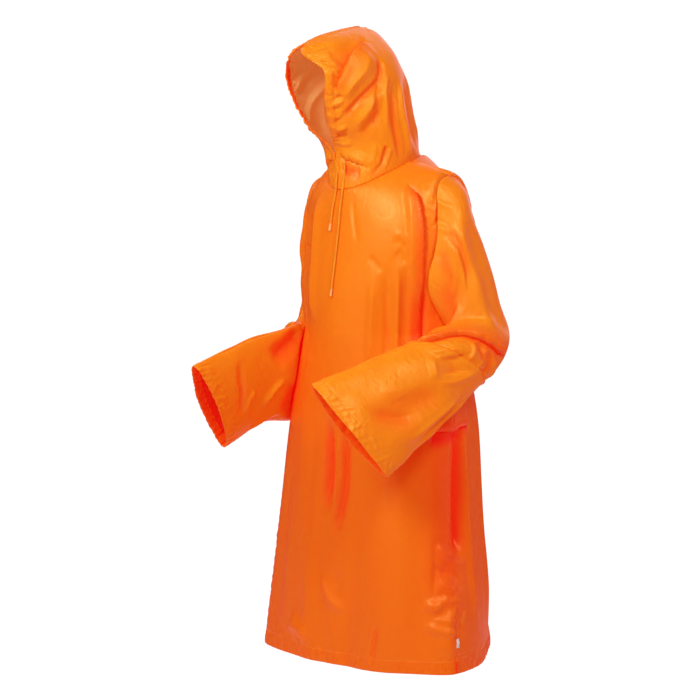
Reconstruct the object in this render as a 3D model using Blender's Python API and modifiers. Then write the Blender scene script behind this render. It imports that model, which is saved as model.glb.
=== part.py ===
"""Hooded rain poncho with sleeves, hollow as worn, for Blender 4.5.

Metres, +Z up. The wearer faces -Y, the wearer's left is +X. The origin is the middle of the
neck base between the shoulders. The cloth pieces are open surfaces worked out from tables of
sections and folds, with a Solidify modifier as the wall.
"""

import math

import bmesh
import bpy
import numpy as np

COLLECTION = "rain_poncho"

# Cloth and seams
WALL = 0.0012              # thickness of the cloth wall
SEAM_GAP = 0.0003          # clear width of a seam between two pieces
SEAM_ALLOWANCE = 0.62      # part of the wall that each piece leaves free at a seam's angle
SLEEVE_CLEARANCE = 0.009   # least distance of a sleeve from the body beside it
SLEEVE_CLEARING_ROWS = 1   # sleeve rows over which that distance is reached
CLEARING_TOP_Z = -0.180    # above this the sleeve rises from the armhole and needs no moving
CLEARING_REACH = 0.060     # how far inside the body a sleeve point is still moved out

# Grid counts
ROWS_SIDE = 12           # body rows from hem to underarm
ROWS_ARMHOLE = 9         # body rows from underarm to shoulder
COLUMNS_NECK = 7         # panel columns from the centre to the neck point
COLUMNS_SHOULDER = 4     # panel columns along one shoulder seam
ROWS_SLEEVE = 15         # sleeve rows from armhole to cuff
SIDE_CROWDING = 0.10     # how much the columns crowd towards the sides
ROWS_HOOD = 13           # hood rows from the neck seam to the crown

# Lengths and heights
HEM_Z = -1.096
UNDERARM_Z = -0.345
AXIS_Y = 0.02            # middle of the body, from which folds move in and out

# Neck seam: an oval that rises from front to back
NECK_HALF_WIDTH = 0.100
NECK_FRONT_Y = -0.135
NECK_BACK_Y = 0.110
NECK_FRONT_Z = -0.023
NECK_SIDE_Z = 0.042
NECK_BACK_Z = 0.055

SHOULDER = (0.200, 0.005, 0.009)
SHOULDER_BOW = 0.006          # rise of the shoulder seam between the neck and the shoulder
RIGHT_SHOULDER_DROP = 0.016   # the wearer's right shoulder is lower
RIGHT_SHOULDER_DRAW = 0.014   # and drawn in
RIGHT_DROP_START_X = -0.102
RIGHT_DROP_WIDTH = 0.090
RIGHT_DROP_HEIGHT = 0.250

# Body sections below the underarm. side: place of the side seam. full: roundness of each half.
#  height, side_x, side_y, front_y, front_full, back_y, back_full
BODY_SECTIONS = (
    (HEM_Z, 0.288, -0.070, -0.160, 2.0, 0.252, 2.0),
    (-0.950, 0.276, -0.060, -0.155, 2.0, 0.241, 2.0),
    (-0.757, 0.258, -0.045, -0.148, 2.0, 0.212, 2.0),
    (-0.554, 0.241, -0.022, -0.143, 1.9, 0.196, 2.0),
    (-0.430, 0.221, -0.004, -0.152, 1.8, 0.191, 2.0),
    (UNDERARM_Z, 0.205, 0.008, -0.160, 1.7, 0.188, 2.0),
)

# Armhole and chest above the underarm, by the part of the armhole's height.
#  part, front_edge_x, front_edge_y, back_edge_x, back_edge_y, front_y, front_full, back_y
ARMHOLE_SECTIONS = (
    (0.00, 0.205, 0.008, 0.205, 0.008, -0.160, 1.7, 0.188),
    (0.30, 0.184, -0.052, 0.194, 0.080, -0.158, 1.7, 0.186),
    (0.60, 0.202, -0.043, 0.200, 0.086, -0.148, 1.8, 0.180),
    (0.85, 0.199, -0.030, 0.200, 0.052, -0.141, 2.0, 0.160),
    (1.00, 0.200, 0.005, 0.200, 0.005, -0.135, 2.0, 0.110),
)
YOKE_START = 0.50        # part of the armhole's height where the panel turns in to the shoulder

# Sleeve sections. outer: shoulder line, elbow and lower edge. inner: underarm, crook and top
# edge of the forearm. away and near: half thickness on the side away from the body and near it.
#  outer_x, outer_y, outer_z, inner_x, inner_y, inner_z, away, near, full
LEFT_SLEEVE_SECTIONS = (
    (0.227, 0.036, -0.030, 0.206, 0.004, -0.346, 0.060, 0.070, 2.0),
    (0.237, 0.050, -0.094, 0.205, -0.006, -0.346, 0.058, 0.062, 2.0),
    (0.253, 0.073, -0.175, 0.202, -0.030, -0.345, 0.056, 0.054, 2.0),
    (0.275, 0.093, -0.277, 0.200, -0.056, -0.343, 0.056, 0.050, 2.0),
    (0.292, 0.102, -0.344, 0.205, -0.071, -0.340, 0.058, 0.048, 2.0),
    (0.304, 0.072, -0.401, 0.219, -0.102, -0.350, 0.058, 0.044, 1.9),
    (0.298, -0.021, -0.466, 0.212, -0.159, -0.360, 0.052, 0.040, 1.8),
    (0.279, -0.153, -0.556, 0.185, -0.271, -0.394, 0.038, 0.034, 1.7),
    (0.260, -0.270, -0.638, 0.149, -0.390, -0.434, 0.030, 0.030, 1.7),
)
RIGHT_SLEEVE_SECTIONS = (
    (0.224, 0.040, -0.030, 0.206, 0.006, -0.346, 0.042, 0.070, 2.0),
    (0.232, 0.058, -0.094, 0.204, -0.002, -0.346, 0.034, 0.062, 2.0),
    (0.247, 0.082, -0.180, 0.201, -0.024, -0.344, 0.028, 0.056, 2.0),
    (0.272, 0.100, -0.300, 0.200, -0.048, -0.341, 0.028, 0.052, 2.0),
    (0.290, 0.104, -0.390, 0.202, -0.060, -0.338, 0.034, 0.050, 2.0),
    (0.290, 0.083, -0.485, 0.202, -0.070, -0.337, 0.040, 0.046, 1.9),
    (0.268, 0.014, -0.558, 0.188, -0.094, -0.341, 0.042, 0.040, 1.8),
    (0.251, -0.132, -0.569, 0.186, -0.247, -0.365, 0.036, 0.034, 1.7),
    (0.244, -0.267, -0.615, 0.183, -0.420, -0.413, 0.030, 0.030, 1.7),
)

# Sleeve folds. part: place from armhole 0 to cuff 1. turn: degrees round the sleeve, 0 the
# outer line, 90 the side away from the body, 180 the inner line. Below zero stands out.
#  name, start_part, start_turn, end_part, end_turn, half_width, depth
LEFT_SLEEVE_FOLDS = (
    ("elbow crook", 0.430, 190.0, 0.415, 40.0, 0.016, 0.016),
    ("forearm lip", 0.485, 180.0, 0.470, 60.0, 0.018, -0.009),
    ("upper arm ridge", 0.060, 60.0, 0.330, 45.0, 0.020, -0.007),
    ("forearm dent", 0.560, 105.0, 0.640, 60.0, 0.026, 0.009),
    ("cuff hollow", 0.760, 70.0, 0.900, 95.0, 0.022, 0.006),
)
RIGHT_SLEEVE_FOLDS = (
    ("elbow crook", 0.430, 190.0, 0.415, 60.0, 0.016, 0.010),
    ("forearm near trough", 0.620, 300.0, 0.760, 250.0, 0.022, 0.008),
    ("forearm near ridge", 0.720, 330.0, 0.860, 260.0, 0.020, -0.006),
    ("forearm away dent", 0.600, 110.0, 0.700, 60.0, 0.026, 0.007),
)

# Hood sections above the neck seam. edge: face opening, and above the brim the centre seam.
#  height, edge_x, edge_y, side_x, side_y, back_y, full
HOOD_SECTIONS = (
    (0.060, 0.003, -0.134, 0.103, -0.020, 0.088, 2.0),
    (0.120, 0.037, -0.172, 0.111, -0.035, 0.060, 2.0),
    (0.180, 0.061, -0.200, 0.115, -0.050, 0.048, 2.1),
    (0.240, 0.074, -0.212, 0.108, -0.062, 0.036, 2.2),
    (0.285, 0.014, -0.232, 0.090, -0.075, 0.022, 2.0),
    (0.318, 0.000, -0.182, 0.058, -0.075, -0.002, 1.8),
    (0.338, 0.000, -0.115, 0.024, -0.062, -0.024, 1.6),
    (0.346, 0.000, -0.078, 0.0001, -0.060, -0.042, 1.6),
)
LEAST_SEAM_ANGLE = math.radians(9.0)   # half of the sharpest angle that a seam allows for
LEAST_HOOD_X = 0.002     # no inner hood point comes nearer to the centre seam
LEAST_SEAM_X = 0.0008    # and no point of the seam edge nearer than this
SEAM_REACH = 0.0006      # front edge points nearer than this to the centre lie on the seam
# Hood folds on each half. part: place from the face edge 0 to the back seam 1.
HOOD_SPAN = 0.36         # width of a hood half from the face edge to the back seam
#  side, start_part, start_z, end_part, end_z, half_width, depth
HOOD_FOLDS = (
    (1, 0.46, 0.325, 0.03, 0.180, 0.018, 0.009),
    (1, 0.62, 0.300, 0.50, 0.215, 0.016, 0.007),
    (1, 0.55, 0.150, 0.06, 0.085, 0.020, 0.008),
    (1, 0.64, 0.260, 0.62, 0.030, 0.014, -0.008),
    (1, 0.74, 0.250, 0.72, 0.030, 0.014, 0.006),
    (-1, 0.48, 0.320, 0.03, 0.200, 0.018, 0.008),
    (-1, 0.50, 0.190, 0.06, 0.100, 0.020, 0.008),
    (-1, 0.68, 0.270, 0.66, 0.040, 0.015, -0.007),
)
HOOD_TURN = math.radians(-12.0)   # the hood looks a little to the wearer's right
HOOD_TURN_HEIGHT = 0.120          # height over which it turns

# Largest folds of the body, as places on a circle round it: 0 is the centre front, 90 the
# wearer's left. A depth below zero stands out.
#  name, top_angle, top_z, bottom_angle, bottom_z, half_width_degrees, depth
BODY_FOLDS = (
    ("left armpit", 61.0, 0.000, 58.0, -0.360, 6.0, 0.012),
    ("left side pleat", 91.0, -0.560, 87.0, -0.860, 5.5, 0.022),
    ("left side overhang", 90.0, -0.400, 92.0, -0.530, 16.0, -0.012),
    ("right side pleat", -95.0, -0.520, -91.0, -0.900, 6.0, 0.016),
    ("front below the cuff", -18.0, -0.520, -28.0, -0.840, 5.0, 0.007),
    ("front middle ridge", 8.0, -0.500, 12.0, -1.100, 9.0, -0.007),
    ("front right trough", 36.0, -0.620, 34.0, -1.120, 8.0, 0.008),
    ("right armpit", -60.0, 0.000, -57.0, -0.360, 6.5, 0.011),
    ("back left trough", 138.0, -0.350, 134.0, -1.120, 9.0, 0.014),
    ("back middle ridge", 176.0, -0.200, 172.0, -1.120, 10.0, -0.010),
    ("back right trough", -146.0, -0.300, -140.0, -1.120, 9.0, 0.013),
)
HEM_WAVES = 7            # waves round the hem
HEM_WAVE_DEPTH = 0.004
HEM_WAVE_HEIGHT = 0.25

# Hem height: lower at the wearer's right, higher at the back
HEM_SET_TOP_Z = -0.75    # the hem's height is reached from here
HEM_SET_HEIGHT = 0.33    # over this height
HEM_RIGHT_DROP = 0.009
HEM_BACK_RISE = 0.022

# Drawstring: a round cord that leaves the tunnel's ends at the centre front
CORD_DIAMETER = 0.0052
CORD_CLEARANCE = 0.0012
TIP_LENGTH = 0.016
TIP_DIAMETER = 0.0064
PIECE_GAP = 0.0003
# Free ends, from the tunnel's end down: sideways place and height
LEFT_CORD_ROUTE = (
    (0.010, 0.041), (0.010, 0.015), (0.009, -0.020), (0.008, -0.060),
    (0.006, -0.110), (0.003, -0.160), (0.000, -0.205), (-0.003, -0.245),
)
RIGHT_CORD_ROUTE = (
    (-0.009, 0.016), (-0.010, -0.005), (-0.012, -0.030), (-0.016, -0.062), (-0.019, -0.098),
)
CORD_SPACING = 0.012     # distance between the points of a cord's route
HOOD_FRONT_COLUMNS = 4   # hood columns and rows that the cord can lie on
HOOD_FRONT_ROWS = 5

# Side label, sewn into the left side seam
LABEL_WIDTH = 0.010
LABEL_LENGTH = 0.020
LABEL_Z = -1.040
LABEL_WALL = 0.0010
LABEL_LIFT = 0.0016
LABEL_INSET = 0.001      # distance of the label's sewn edge from the panel's edge

# Finishes: colour, roughness, metallic
CLOTH_FINISH = ((0.86, 0.17, 0.012, 1.0), 0.42, 0.0)
CORD_FINISH = ((0.88, 0.22, 0.03, 1.0), 0.75, 0.0)
TIP_FINISH = ((0.92, 0.42, 0.16, 1.0), 0.60, 0.0)
LABEL_FINISH = ((0.85, 0.80, 0.78, 1.0), 0.60, 0.0)


def clear_scene():
    """Remove everything from the scene."""
    for old in list(bpy.data.objects):
        bpy.data.objects.remove(old, do_unlink=True)


def make_collection(name):
    """Make a collection in the scene."""
    collection = bpy.data.collections.new(name)
    bpy.context.scene.collection.children.link(collection)
    return collection


def make_material(name, finish):
    """Make a Principled material from a colour, roughness and metallic value."""
    colour, roughness, metallic = finish
    material = bpy.data.materials.new(name)
    material.use_nodes = True
    shader = material.node_tree.nodes["Principled BSDF"]
    shader.inputs["Base Color"].default_value = colour
    shader.inputs["Roughness"].default_value = roughness
    shader.inputs["Metallic"].default_value = metallic
    material.diffuse_color = colour
    return material


def ease(value):
    """Go smoothly from 0 to 1 as value does, and stay there outside."""
    value = np.clip(value, 0.0, 1.0)
    return value * value * (3.0 - 2.0 * value)


def through(stations, rows, at):
    """Smooth curve through rows of numbers that stand at rising or falling stations."""
    stations = np.asarray(stations, float)
    rows = np.asarray(rows, float)
    if stations[0] > stations[-1]:
        stations, rows = stations[::-1], rows[::-1]
    at = np.clip(np.atleast_1d(at).astype(float), stations[0], stations[-1])
    step = np.diff(stations)
    grow = np.diff(rows, axis=0) / step.reshape((-1,) + (1,) * (rows.ndim - 1))
    slope = np.vstack([grow[:1], 0.5 * (grow[:-1] + grow[1:]), grow[-1:]])
    low = np.clip(np.searchsorted(stations, at, side="right") - 1, 0, len(step) - 1)
    wide = (1,) * (rows.ndim - 1)
    part = ((at - stations[low]) / step[low]).reshape((-1,) + wide)
    width = step[low].reshape((-1,) + wide)
    start = (1 + 2 * part) * (1 - part) ** 2 * rows[low]
    end = part ** 2 * (3 - 2 * part) * rows[low + 1]
    lean = part * (1 - part) ** 2 * slope[low] - part ** 2 * (1 - part) * slope[low + 1]
    return start + end + lean * width


def even(curve, fractions):
    """Read points off a polyline at fractions of its length."""
    steps = np.linalg.norm(np.diff(curve, axis=0), axis=1)
    run = np.concatenate([[0.0], np.cumsum(steps)])
    run = run / run[-1]
    return np.stack([np.interp(fractions, run, curve[:, k]) for k in range(curve.shape[1])], 1)


def quarter(side, middle, full, fractions):
    """Quarter of a rounded section from the middle (x = 0) to the side point."""
    turn = np.linspace(0.0, math.pi / 2, 41)
    power = 2.0 / full
    x = side[0] * np.sin(turn) ** power
    y = side[1] + (middle - side[1]) * np.cos(turn) ** power
    return even(np.stack([x, y], 1), fractions)


def neck_point(angle):
    """Point of the neck seam; angle 0 is the centre front, pi the centre back."""
    middle = 0.5 * (NECK_FRONT_Y + NECK_BACK_Y)
    depth = 0.5 * (NECK_BACK_Y - NECK_FRONT_Y)
    level = 0.5 * (NECK_FRONT_Z + NECK_BACK_Z)
    tilt = 0.5 * (NECK_BACK_Z - NECK_FRONT_Z)
    x = NECK_HALF_WIDTH * np.sin(angle)
    y = middle - depth * np.cos(angle)
    z = level - tilt * np.cos(angle) + (NECK_SIDE_Z - level) * np.sin(angle) ** 2
    return np.stack([x, y, z], -1)


def fold_shift(points):
    """How far the folds move points of the body inwards."""
    x, y, z = points[..., 0], points[..., 1] - AXIS_Y, points[..., 2]
    angle = np.degrees(np.arctan2(x, -y))
    shift = np.zeros_like(x)
    for _name, top_angle, top_z, bottom_angle, bottom_z, half_width, depth in BODY_FOLDS:
        part = (z - top_z) / (bottom_z - top_z)
        line = top_angle + (bottom_angle - top_angle) * np.clip(part, 0.0, 1.0)
        across = (angle - line + 180.0) % 360.0 - 180.0
        ends = ease((part + 0.15) / 0.30) * ease((1.15 - part) / 0.30)
        shift += depth * ends * np.exp(-((across / half_width) ** 2))
    low = ease((HEM_Z + HEM_WAVE_HEIGHT - z) / HEM_WAVE_HEIGHT)
    shift += HEM_WAVE_DEPTH * low * np.sin(HEM_WAVES * np.radians(angle) + 0.6)
    return shift


def fold_body(points):
    """Move points of the body by its folds, and set the height of the hem."""
    points = np.array(points, float)
    outward = points[..., :2] - np.array([0.0, AXIS_Y])
    outward /= np.maximum(np.linalg.norm(outward, axis=-1, keepdims=True), 0.02)
    low = ease((HEM_SET_TOP_Z - points[..., 2]) / HEM_SET_HEIGHT)
    drop = HEM_RIGHT_DROP * ease(0.5 - 0.5 * outward[..., 0] - 0.5 * outward[..., 1])
    rise = HEM_BACK_RISE * ease(outward[..., 1])
    shift = fold_shift(points)
    points[..., :2] -= shift[..., None] * outward
    points[..., 2] += low * (rise - drop)
    return points


def top_row(front):
    """Neck and shoulder edge of one half panel, from the centre to the shoulder."""
    start, end = (0.0, math.pi / 2) if front else (math.pi, math.pi / 2)
    neck = neck_point(np.linspace(start, end, COLUMNS_NECK + 1))
    part = np.linspace(0.0, 1.0, COLUMNS_SHOULDER + 1)[1:, None]
    shoulder = neck[-1] * (1 - part) + np.array(SHOULDER) * part
    shoulder[:, 2] += SHOULDER_BOW * np.sin(math.pi * part[:, 0])
    return np.vstack([neck, shoulder])


def half_panel(front):
    """Half of a body panel as rows from the hem to the shoulder, centre to side."""
    top = top_row(front)
    columns = len(top)
    steps = np.linalg.norm(np.diff(top, axis=0), axis=1)
    along_top = np.concatenate([[0.0], np.cumsum(steps)]) / steps.sum()
    evenly = np.linspace(0.0, 1.0, columns)
    crowded = evenly + SIDE_CROWDING * np.sin(math.pi * evenly)
    rows = []
    sections = np.array(BODY_SECTIONS)
    middle, full = (3, 4) if front else (5, 6)
    for height in np.linspace(HEM_Z, UNDERARM_Z, ROWS_SIDE + 1):
        section = through(sections[:, 0], sections, height)[0]
        line = quarter(section[1:3], section[middle], section[full], crowded)
        rows.append(np.column_stack([line, np.full(columns, height)]))
    sections = np.array(ARMHOLE_SECTIONS)
    edge = slice(1, 3) if front else slice(3, 5)
    for part in np.linspace(0.0, 1.0, ROWS_ARMHOLE + 1)[1:-1]:
        section = through(sections[:, 0], sections, part)[0]
        roundness = section[6] if front else 2.0
        spacing = crowded + (along_top - crowded) * part
        line = quarter(section[edge], section[5] if front else section[7], roundness, spacing)
        turn = 0.5 * math.pi * max(part - YOKE_START, 0.0) / (1.0 - YOKE_START)
        inward = (1.0 - math.cos(turn)) * (1.0 - ease((spacing - 0.80) / 0.20))
        line += (top[:, :2] - line) * inward[:, None]
        lower = min(part, YOKE_START) + (1.0 - YOKE_START) * math.sin(turn)
        rows.append(np.column_stack([line, UNDERARM_Z + (top[:, 2] - UNDERARM_Z) * lower]))
    rows.append(top)
    return np.array(rows)


def mirrored(half):
    """Whole panel from a half: columns from the wearer's right to the left."""
    other = half[:, :0:-1] * np.array([-1.0, 1.0, 1.0])
    return np.concatenate([other, half], axis=1)


def drop_shoulder(points):
    """Lower the wearer's right shoulder and draw it in."""
    points = np.array(points, float)
    part = ease((RIGHT_DROP_START_X - points[..., 0]) / RIGHT_DROP_WIDTH)
    high = ease((points[..., 2] + RIGHT_DROP_HEIGHT) / RIGHT_DROP_HEIGHT)
    points[..., 2] -= RIGHT_SHOULDER_DROP * part * high
    points[..., 0] += RIGHT_SHOULDER_DRAW * part * high
    return points


def body_panels():
    """Front and back panel grids with their folds, before their edges are pulled back."""
    halves = mirrored(half_panel(True)), mirrored(half_panel(False))
    return [drop_shoulder(fold_body(half)) for half in halves]


def sleeve_grid(front, back, sections, folds, side):
    """Sleeve rows from the armhole to the cuff; side is 1 for the left, -1 for the right."""
    column = -1 if side > 0 else 0
    down = front[:ROWS_SIDE - 1:-1, column]
    up = back[ROWS_SIDE + 1:-1, column]
    armhole = np.vstack([down, up])
    count = len(armhole)
    turn = 2 * math.pi * np.arange(count) / count
    table = np.array(sections)
    flip = np.array([side, 1.0, 1.0])
    outer, inner = table[:, 0:3] * flip, table[:, 3:6] * flip
    centres = np.vstack([armhole.mean(axis=0)[None], 0.5 * (outer + inner)])
    rings = [armhole]
    for k, row in enumerate(table):
        half = 0.5 * (outer[k] - inner[k])
        after = centres[min(k + 2, len(centres) - 1)]
        away = np.cross(after - centres[k], half) * side
        away /= np.linalg.norm(away)
        power = 2.0 / row[8]
        long_part = np.sign(np.cos(turn)) * np.abs(np.cos(turn)) ** power
        short_part = np.sign(np.sin(turn)) * np.abs(np.sin(turn)) ** power
        thick = np.where(short_part > 0, row[6], row[7])
        rings.append(centres[k + 1] + long_part[:, None] * half + (short_part * thick)[:, None] * away)
    rings = np.array(rings)
    rings[1:] = drop_shoulder(rings[1:])
    gaps = np.linalg.norm(np.diff(rings, axis=0), axis=2).mean(axis=1)
    stations = np.concatenate([[0.0], np.cumsum(gaps)])
    grid = through(stations, rings, np.linspace(0.0, stations[-1], ROWS_SLEEVE + 1))
    grid = fold_sleeve(grid, folds, side)
    return keep_clear(keep_clear(grid, front, 1), back, -1)


def finer(grid, times):
    """Put points between those of a grid, on its own facets."""
    rows, columns = grid.shape[:2]
    down = np.linspace(0.0, rows - 1.0, (rows - 1) * times + 1)
    along = np.linspace(0.0, columns - 1.0, (columns - 1) * times + 1)
    top = np.minimum(down.astype(int), rows - 2)
    left = np.minimum(along.astype(int), columns - 2)
    low = (down - top)[:, None, None]
    part = (along - left)[None, :, None]
    upper = grid[top][:, left] * (1 - part) + grid[top][:, left + 1] * part
    lower = grid[top + 1][:, left] * (1 - part) + grid[top + 1][:, left + 1] * part
    return upper * (1 - low) + lower * low


def keep_clear(grid, panel, outside):
    """Move a sleeve out of a body panel; outside gives the sign of the panel's normals."""
    grid = np.array(grid, float)
    fine = finer(panel, 4)
    normals = grid_normals(fine, False).reshape(-1, 3) * outside
    places = fine.reshape(-1, 3)
    for row in range(1, len(grid)):
        clearance = SLEEVE_CLEARANCE * min(1.0, row / SLEEVE_CLEARING_ROWS)
        for column in range(grid.shape[1]):
            point = grid[row, column]
            nearest = np.argmin(((places - point) ** 2).sum(axis=1))
            depth = (point - places[nearest]) @ normals[nearest]
            reached = np.linalg.norm(point - places[nearest]) < CLEARING_REACH
            if depth < clearance and reached and point[2] < CLEARING_TOP_Z:
                point += (clearance - depth) * normals[nearest]
    return grid


def grid_normals(grid, closed):
    """Normals of a grid of points, by the rows and columns beside each."""
    down = np.gradient(grid, axis=0)
    if closed:
        across = 0.5 * (np.roll(grid, -1, axis=1) - np.roll(grid, 1, axis=1))
    else:
        across = np.gradient(grid, axis=1)
    normals = np.cross(across, down)
    return normals / np.maximum(np.linalg.norm(normals, axis=2, keepdims=True), 1e-9)


def beside_line(along, across, start, end):
    """Distance of places from a straight line between two points."""
    line = (end[0] - start[0], end[1] - start[1])
    length = math.hypot(*line)
    part = ((along - start[0]) * line[0] + (across - start[1]) * line[1]) / length ** 2
    nearest = np.clip(part, 0.0, 1.0)
    return np.hypot(along - start[0] - nearest * line[0], across - start[1] - nearest * line[1])


def fold_sleeve(grid, folds, side):
    """Press the sleeve's folds into its grid."""
    rows, columns = grid.shape[:2]
    length = np.linalg.norm(np.diff(grid, axis=0), axis=2).mean(axis=1).sum()
    girth = np.linalg.norm(np.diff(grid, axis=1), axis=2).sum(axis=1).mean()
    along = np.linspace(0.0, length, rows)[:, None] * np.ones((1, columns))
    across = np.arange(columns)[None] * (girth / columns) * np.ones((rows, 1))
    shift = np.zeros((rows, columns))
    for _name, start_part, start_turn, end_part, end_turn, half_width, depth in folds:
        start = (start_part * length, start_turn / 360.0 * girth)
        end = (end_part * length, end_turn / 360.0 * girth)
        away = beside_line(along, across, start, end)
        shift += depth * np.exp(-((away / half_width) ** 2))
    shift *= ease(along / (0.08 * length))
    return grid - shift[..., None] * grid_normals(grid, True) * side


def fold_hood(grid, side):
    """Press the hood's folds into one half; its edges stay where they are."""
    rows, columns = grid.shape[:2]
    part = np.linspace(0.0, 1.0, columns)[None] * np.ones((rows, 1))
    shift = np.zeros((rows, columns))
    for fold_side, start_part, start_z, end_part, end_z, half_width, depth in HOOD_FOLDS:
        if fold_side == side:
            start, end = (start_part * HOOD_SPAN, start_z), (end_part * HOOD_SPAN, end_z)
            away = beside_line(part * HOOD_SPAN, grid[..., 2], start, end)
            shift += depth * np.exp(-((away / half_width) ** 2))
    height = np.linspace(0.0, 1.0, rows)[:, None]
    shift *= ease(height / 0.12) * ease((1.0 - height) / 0.20) * ease((1.0 - part) / 0.12)
    return grid - shift[..., None] * grid_normals(grid, False) * side


def turn_hood(points):
    """Turn the points of a hood half about the upright axis, more the higher they are."""
    points = np.array(points, float)
    angle = HOOD_TURN * ease((points[..., 2] - points[:1, :, 2]) / HOOD_TURN_HEIGHT)
    x, y = points[..., 0].copy(), points[..., 1].copy()
    points[..., 0] = x * np.cos(angle) - y * np.sin(angle)
    points[..., 1] = x * np.sin(angle) + y * np.cos(angle)
    return points


def hood_ring(section, fractions):
    """Half of a hood section, from its front edge round the side to the back seam."""
    _height, edge_x, edge_y, side_x, side_y, back_y, full = section
    power = 2.0 / full
    start = math.asin(min(1.0, edge_x / side_x) ** (1.0 / power))
    reach = (edge_y - side_y) / max(math.cos(start) ** power, 0.05)
    front = np.linspace(start, math.pi / 2, 31)
    back = np.linspace(math.pi / 2, 0.0, 31)[1:]
    ahead = np.stack([side_x * np.sin(front) ** power, side_y + reach * np.cos(front) ** power], 1)
    behind = np.stack([side_x * np.sin(back), side_y + (back_y - side_y) * np.cos(back)], 1)
    return even(np.vstack([ahead, behind]), fractions)


def hood_half(side):
    """One hood half: rows from the neck seam to the crown, front edge to the back seam."""
    neck = neck_point(np.linspace(0.0, math.pi, 2 * COLUMNS_NECK + 1))
    evenly = np.linspace(0.0, 1.0, len(neck))
    table = np.array(HOOD_SECTIONS)
    rings = [neck]
    for section in table:
        line = hood_ring(section, evenly)
        rings.append(np.column_stack([line, np.full(len(neck), section[0])]))
    rings = np.array(rings)
    gaps = np.linalg.norm(np.diff(rings, axis=0), axis=2).mean(axis=1)
    stations = np.concatenate([[0.0], np.cumsum(gaps)])
    grid = through(stations, rings, np.linspace(0.0, stations[-1], ROWS_HOOD + 1))
    grid[..., 0] = np.maximum(grid[..., 0], 0.0)
    grid[-1, :, 0] = 0.0
    grid[1:-1, 1:-1, 0] = np.maximum(grid[1:-1, 1:-1, 0], LEAST_HOOD_X)
    grid[..., 0] *= side
    grid = fold_hood(grid, side)
    on_seam = np.abs(grid[:, 0, 0]) < SEAM_REACH
    for edge, touching in (("first_column", on_seam), ("last_column", True), ("last_row", True)):
        line, beside = edge_lines(grid, edge)
        other = beside * np.array([-1.0, 1.0, 1.0])
        grid = pull_back(grid, edge, np.where(touching, seam_gap(line, beside, other), 0.0))
    grid[..., 0] = side * np.maximum(np.abs(grid[..., 0]), LEAST_SEAM_X)
    return turn_hood(grid)


def edge_lines(grid, edge):
    """Points of one edge of a grid and the points beside them."""
    if edge == "first_row":
        return grid[0], grid[1]
    if edge == "last_row":
        return grid[-1], grid[-2]
    if edge == "first_column":
        return grid[:, 0], grid[:, 1]
    return grid[:, -1], grid[:, -2]


def seam_gap(line, beside, other):
    """Pull-back of a seam edge towards the points beside it, clear of the other piece's wall."""
    along = np.gradient(line, axis=0)
    along /= np.maximum(np.linalg.norm(along, axis=1, keepdims=True), 1e-9)
    one, two = beside - line, other - line
    across = one - (one * along).sum(axis=1, keepdims=True) * along
    opposite = two - (two * along).sum(axis=1, keepdims=True) * along
    width = np.maximum(np.linalg.norm(across, axis=1), 1e-9)
    reach = np.maximum(np.linalg.norm(opposite, axis=1), 1e-9)
    half_angle = 0.5 * np.arccos(np.clip((across * opposite).sum(axis=1) / width / reach, -1, 1))
    half_angle = np.maximum(half_angle, LEAST_SEAM_ANGLE)
    clear = 0.5 * SEAM_GAP + SEAM_ALLOWANCE * WALL / np.tan(half_angle)
    return clear * np.linalg.norm(one, axis=1) / np.maximum(width, 0.3 * np.linalg.norm(one, axis=1))


def pull_back(grid, edge, gap):
    """Pull one edge of a grid back towards the points beside it."""
    grid = np.array(grid, float)
    line, beside = edge_lines(grid, edge)
    away = beside - line
    size = np.maximum(np.linalg.norm(away, axis=-1, keepdims=True), 1e-6)
    line += away / size * np.broadcast_to(gap, size.shape[:-1])[..., None]
    return grid


def seam_sleeve(front, back, sleeve, edge):
    """Pull-backs of one side's edges: front panel, back panel and the sleeve's head."""
    line, front_beside = edge_lines(front, edge)
    back_beside = edge_lines(back, edge)[1]
    ring_front = np.arange(ROWS_ARMHOLE, -1, -1)
    ring_back = (ROWS_ARMHOLE + np.arange(ROWS_ARMHOLE + 1)) % (2 * ROWS_ARMHOLE)
    armhole = slice(ROWS_SIDE, None)
    front_other, back_other = back_beside.copy(), front_beside.copy()
    front_other[armhole] = sleeve[1][ring_front]
    back_other[armhole] = sleeve[1][ring_back]
    ring_gap = np.zeros(2 * ROWS_ARMHOLE)
    ring_gap[ring_back] = seam_gap(line[armhole], back_other[armhole], back_beside[armhole])
    from_front = seam_gap(line[armhole], front_other[armhole], front_beside[armhole])
    ring_gap[ring_front] = np.maximum(ring_gap[ring_front], from_front)
    return (seam_gap(line, front_beside, front_other), seam_gap(line, back_beside, back_other),
            ring_gap)


def seam_top(front, back, hood, side):
    """Pull-backs of the neck and shoulder edges of one side, for both panels and the hood."""
    middle = COLUMNS_NECK + COLUMNS_SHOULDER
    neck = middle + side * np.arange(COLUMNS_NECK + 1)
    shoulder = middle + side * np.arange(COLUMNS_NECK, middle + 1)
    hood_front = np.arange(COLUMNS_NECK + 1)
    hood_back = 2 * COLUMNS_NECK - hood_front
    hood_gap = np.zeros(2 * COLUMNS_NECK + 1)
    tops = []
    for panel, other, around in ((front, back, hood_front), (back, front, hood_back)):
        top = np.zeros(2 * middle + 1)
        top[neck] = seam_gap(panel[-1, neck], panel[-2, neck], hood[1][around])
        on_shoulder = seam_gap(panel[-1, shoulder], panel[-2, shoulder], other[-2, shoulder])
        top[shoulder] = np.maximum(top[shoulder], on_shoulder)
        from_hood = seam_gap(panel[-1, neck], hood[1][around], panel[-2, neck])
        hood_gap[around] = np.maximum(hood_gap[around], from_hood)
        tops.append(top)
    return tops[0], tops[1], hood_gap


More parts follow.
